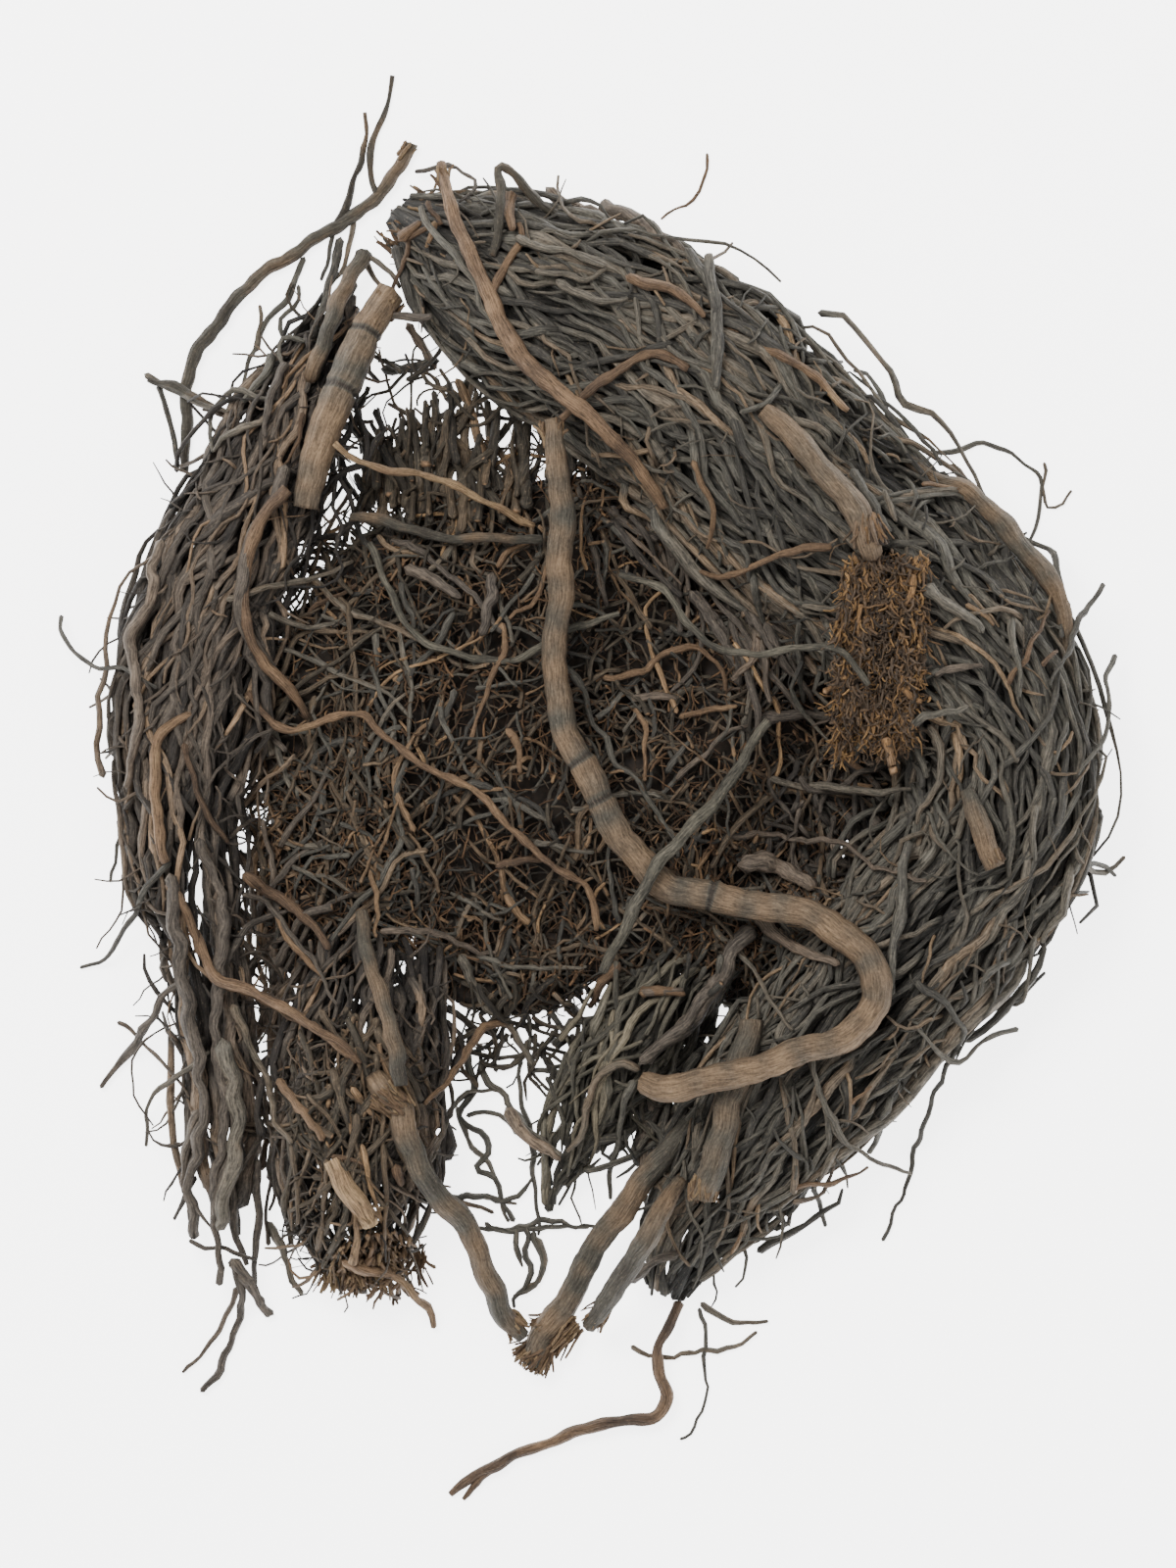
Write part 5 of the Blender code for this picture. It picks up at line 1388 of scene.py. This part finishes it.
TAN_TRAILS = [
    (8, [(189, 761), (200, 806), (217, 837), (233, 862)]),
    (14, [(248, 895), (284, 916), (314, 941), (335, 967)]), (7, [(281, 937), (301, 966), (327, 998)]),
    (7, [(316, 626), (322, 612), (342, 611), (362, 597)]), (6, [(377, 880), (383, 923), (384, 958)]),
    (9, [(520, 745), (528, 765), (533, 788)]), (7, [(559, 582), (551, 602), (522, 630)]),
    (7, [(505, 579), (525, 561), (545, 550)]), (9, [(853, 762), (864, 773), (881, 784), (895, 796)]),
    (6, [(873, 801), (904, 799)]), (4, [(780, 672), (794, 695), (811, 716)]),
    (8, [(696, 731), (721, 726), (752, 721)]),
    (12, [(641, 286), (677, 296), (720, 324)]), (8, [(706, 477), (726, 517), (722, 560)]),
    (9, [(846, 560), (803, 563), (769, 580), (737, 589), (700, 577)]),
    (8, [(507, 884), (535, 879), (558, 876)]), (7, [(647, 725), (658, 739), (660, 764), (658, 797)]),
    (8, [(617, 690), (650, 688), (673, 670), (701, 661), (724, 667), (739, 688), (742, 703)]),
    (8, [(512, 637), (515, 662), (502, 693), (489, 726), (479, 759)]),
    (10, [(174, 903), (192, 939), (218, 995), (253, 1013), (309, 1041), (332, 1056), (366, 1082)]),
    (12, [(286, 1104), (307, 1130), (330, 1161)]),
    (12, [(349, 1292), (387, 1299), (414, 1315), (433, 1341), (441, 1357)]), (11, [(360, 1288), (364, 1242)]),
    (4, [(722, 150), (715, 190), (675, 218)]), (14, [(633, 986), (614, 1005), (602, 1027)]),
    (11, [(655, 1011), (677, 1011), (699, 1017)]),
    (10, [(521, 1046), (493, 1047), (480, 1074), (461, 1096), (436, 1124)]),
    (7, [(437, 205), (447, 225), (429, 233), (415, 253), (405, 280), (403, 298)]),
    (12, [(520, 196), (518, 215), (526, 235)]), (6, [(343, 1179), (361, 1179), (373, 1197)]),
    (12, [(406, 1190), (410, 1208)]), (13, [(411, 243), (419, 234), (428, 225)]),
    (8, [(441, 227), (438, 240), (434, 252)]), (5, [(867, 1127), (877, 1114), (891, 1108)]),
    (5, [(748, 1284), (750, 1268), (757, 1257)]),
    (6, [(811, 1213), (830, 1208), (852, 1209), (872, 1202), (888, 1192)]),
    (5, [(336, 344), (319, 355), (308, 365), (297, 380), (286, 397)]),
    (5, [(309, 422), (307, 440), (302, 458), (286, 476)]),
    (8, [(977, 470), (986, 481), (998, 500), (1008, 512)]),
    (5, [(942, 498), (975, 497), (998, 505)]), (6, [(986, 621), (1010, 635)]),
    (6, [(1062, 680), (1079, 666)]),
    (6, [(1027, 699), (1045, 668), (1062, 640), (1071, 623)]),
]


OVER_TUFT = (12, [(870, 766), (913, 745), (944, 734), (981, 720)])
TRAIL_SPACING = 1.6 * MM
TRAIL_WAVES = (mm(14, 0.4), mm(6, 0.22))


def trail(width, route, tone, lift=0.0):
    """A thin root along a route, with the unrest that thin roots have."""
    rows = smooth(metres([(*spot, width / 2) for spot in route]), TRAIL_SPACING)
    line = laid(rows, lift)
    run = np.arange(len(rows)) * TRAIL_SPACING
    for axis in (0, 1):
        line[:, axis] += swing(rng, run, TRAIL_WAVES)
    return root(line, thickness(rng, rows[0, 2], len(rows), 0.6), tone)


over_tuft = trail(*OVER_TUFT, 0.55, 4 * MM)
sweep("thin_grey_roots", [over_tuft] + [trail(*row, rng.uniform(0.35, 0.75)) for row in GREY_TRAILS],
      8, 0.25, grey_bark, [])
sweep("thin_brown_roots", [trail(*row, rng.uniform(0.4, 0.8)) for row in BROWN_TRAILS],
      8, 0.25, brown_bark, [])
sweep("thin_tan_roots", [trail(*row, rng.uniform(0.3, 0.7)) for row in TAN_TRAILS],
      8, 0.25, tan_bark, [])

# %% [markdown]
# Three small places are left. Roots painted dark as painted shade close the gap behind the upper end
# of the bent root, a brush of pale fibres stands where the lower hank ends, and two more roots end in
# splinters.

# %% Last roots and fibres
BEHIND_BENT_ROOT = [lobe(588, 476, 34, 24, 8 * MM)]
LOWER_END = [lobe(388, 1284, 46, 30, 0.0)]
TIP_SPLINTERS = [("ankle_root", (530, 1360), -0.75, 10, 60, 1.0),
                 ("forked_root", (451, 172), 1.75, 6, 16, 1.1)]
# Painted shade: these roots take dark tones where the bent root shades the gap behind it
behind = rootlets(36, mm(6, 14), mm(0.4, 1.0), mm(-2, 3), (0.0, 0.45), upright, 0.5,
                  steps=8, bend=0.5, jitter=0.15, lobes=BEHIND_BENT_ROOT)
sweep("roots_behind_bent_root", behind, 5, 0.25, rootlet_bark, [])
brush = rootlets(150, mm(2.5, 7), mm(0.2, 0.6), mm(-1, 1.5), (0.45, 1.0), -upright, 0.6,
                 steps=5, bend=0.5, jitter=0.2, lobes=LOWER_END, top=heap_top)
sweep("lower_hank_brush", brush, 4, 0.2, tan_bark, [])
tips = [item for row in TIP_SPLINTERS for item in splinters(*row)]
sweep("frayed_tips", tips, 4, 0.2, tan_bark, [])

# %% [markdown]
# The floor is only a stage for the picture. It glows, so that it comes out nearly white, as it is in
# the photograph.

# %% The floor
FLOOR_LOOK = {
    "Base Color": (0.92, 0.92, 0.92, 1.0), "Roughness": 0.9, "Emission Color": WHITE,
    "Emission Strength": 4.0,
}
bpy.ops.mesh.primitive_plane_add(size=3.0)
floor = bpy.context.object
floor.name = "floor"
pale, pale_shader = new_finish("pale_floor")
for key, value in FLOOR_LOOK.items():
    pale_shader.inputs[key].default_value = value
floor.data.materials.append(pale)
print("floor", round(floor.dimensions.x, 1), "m wide")
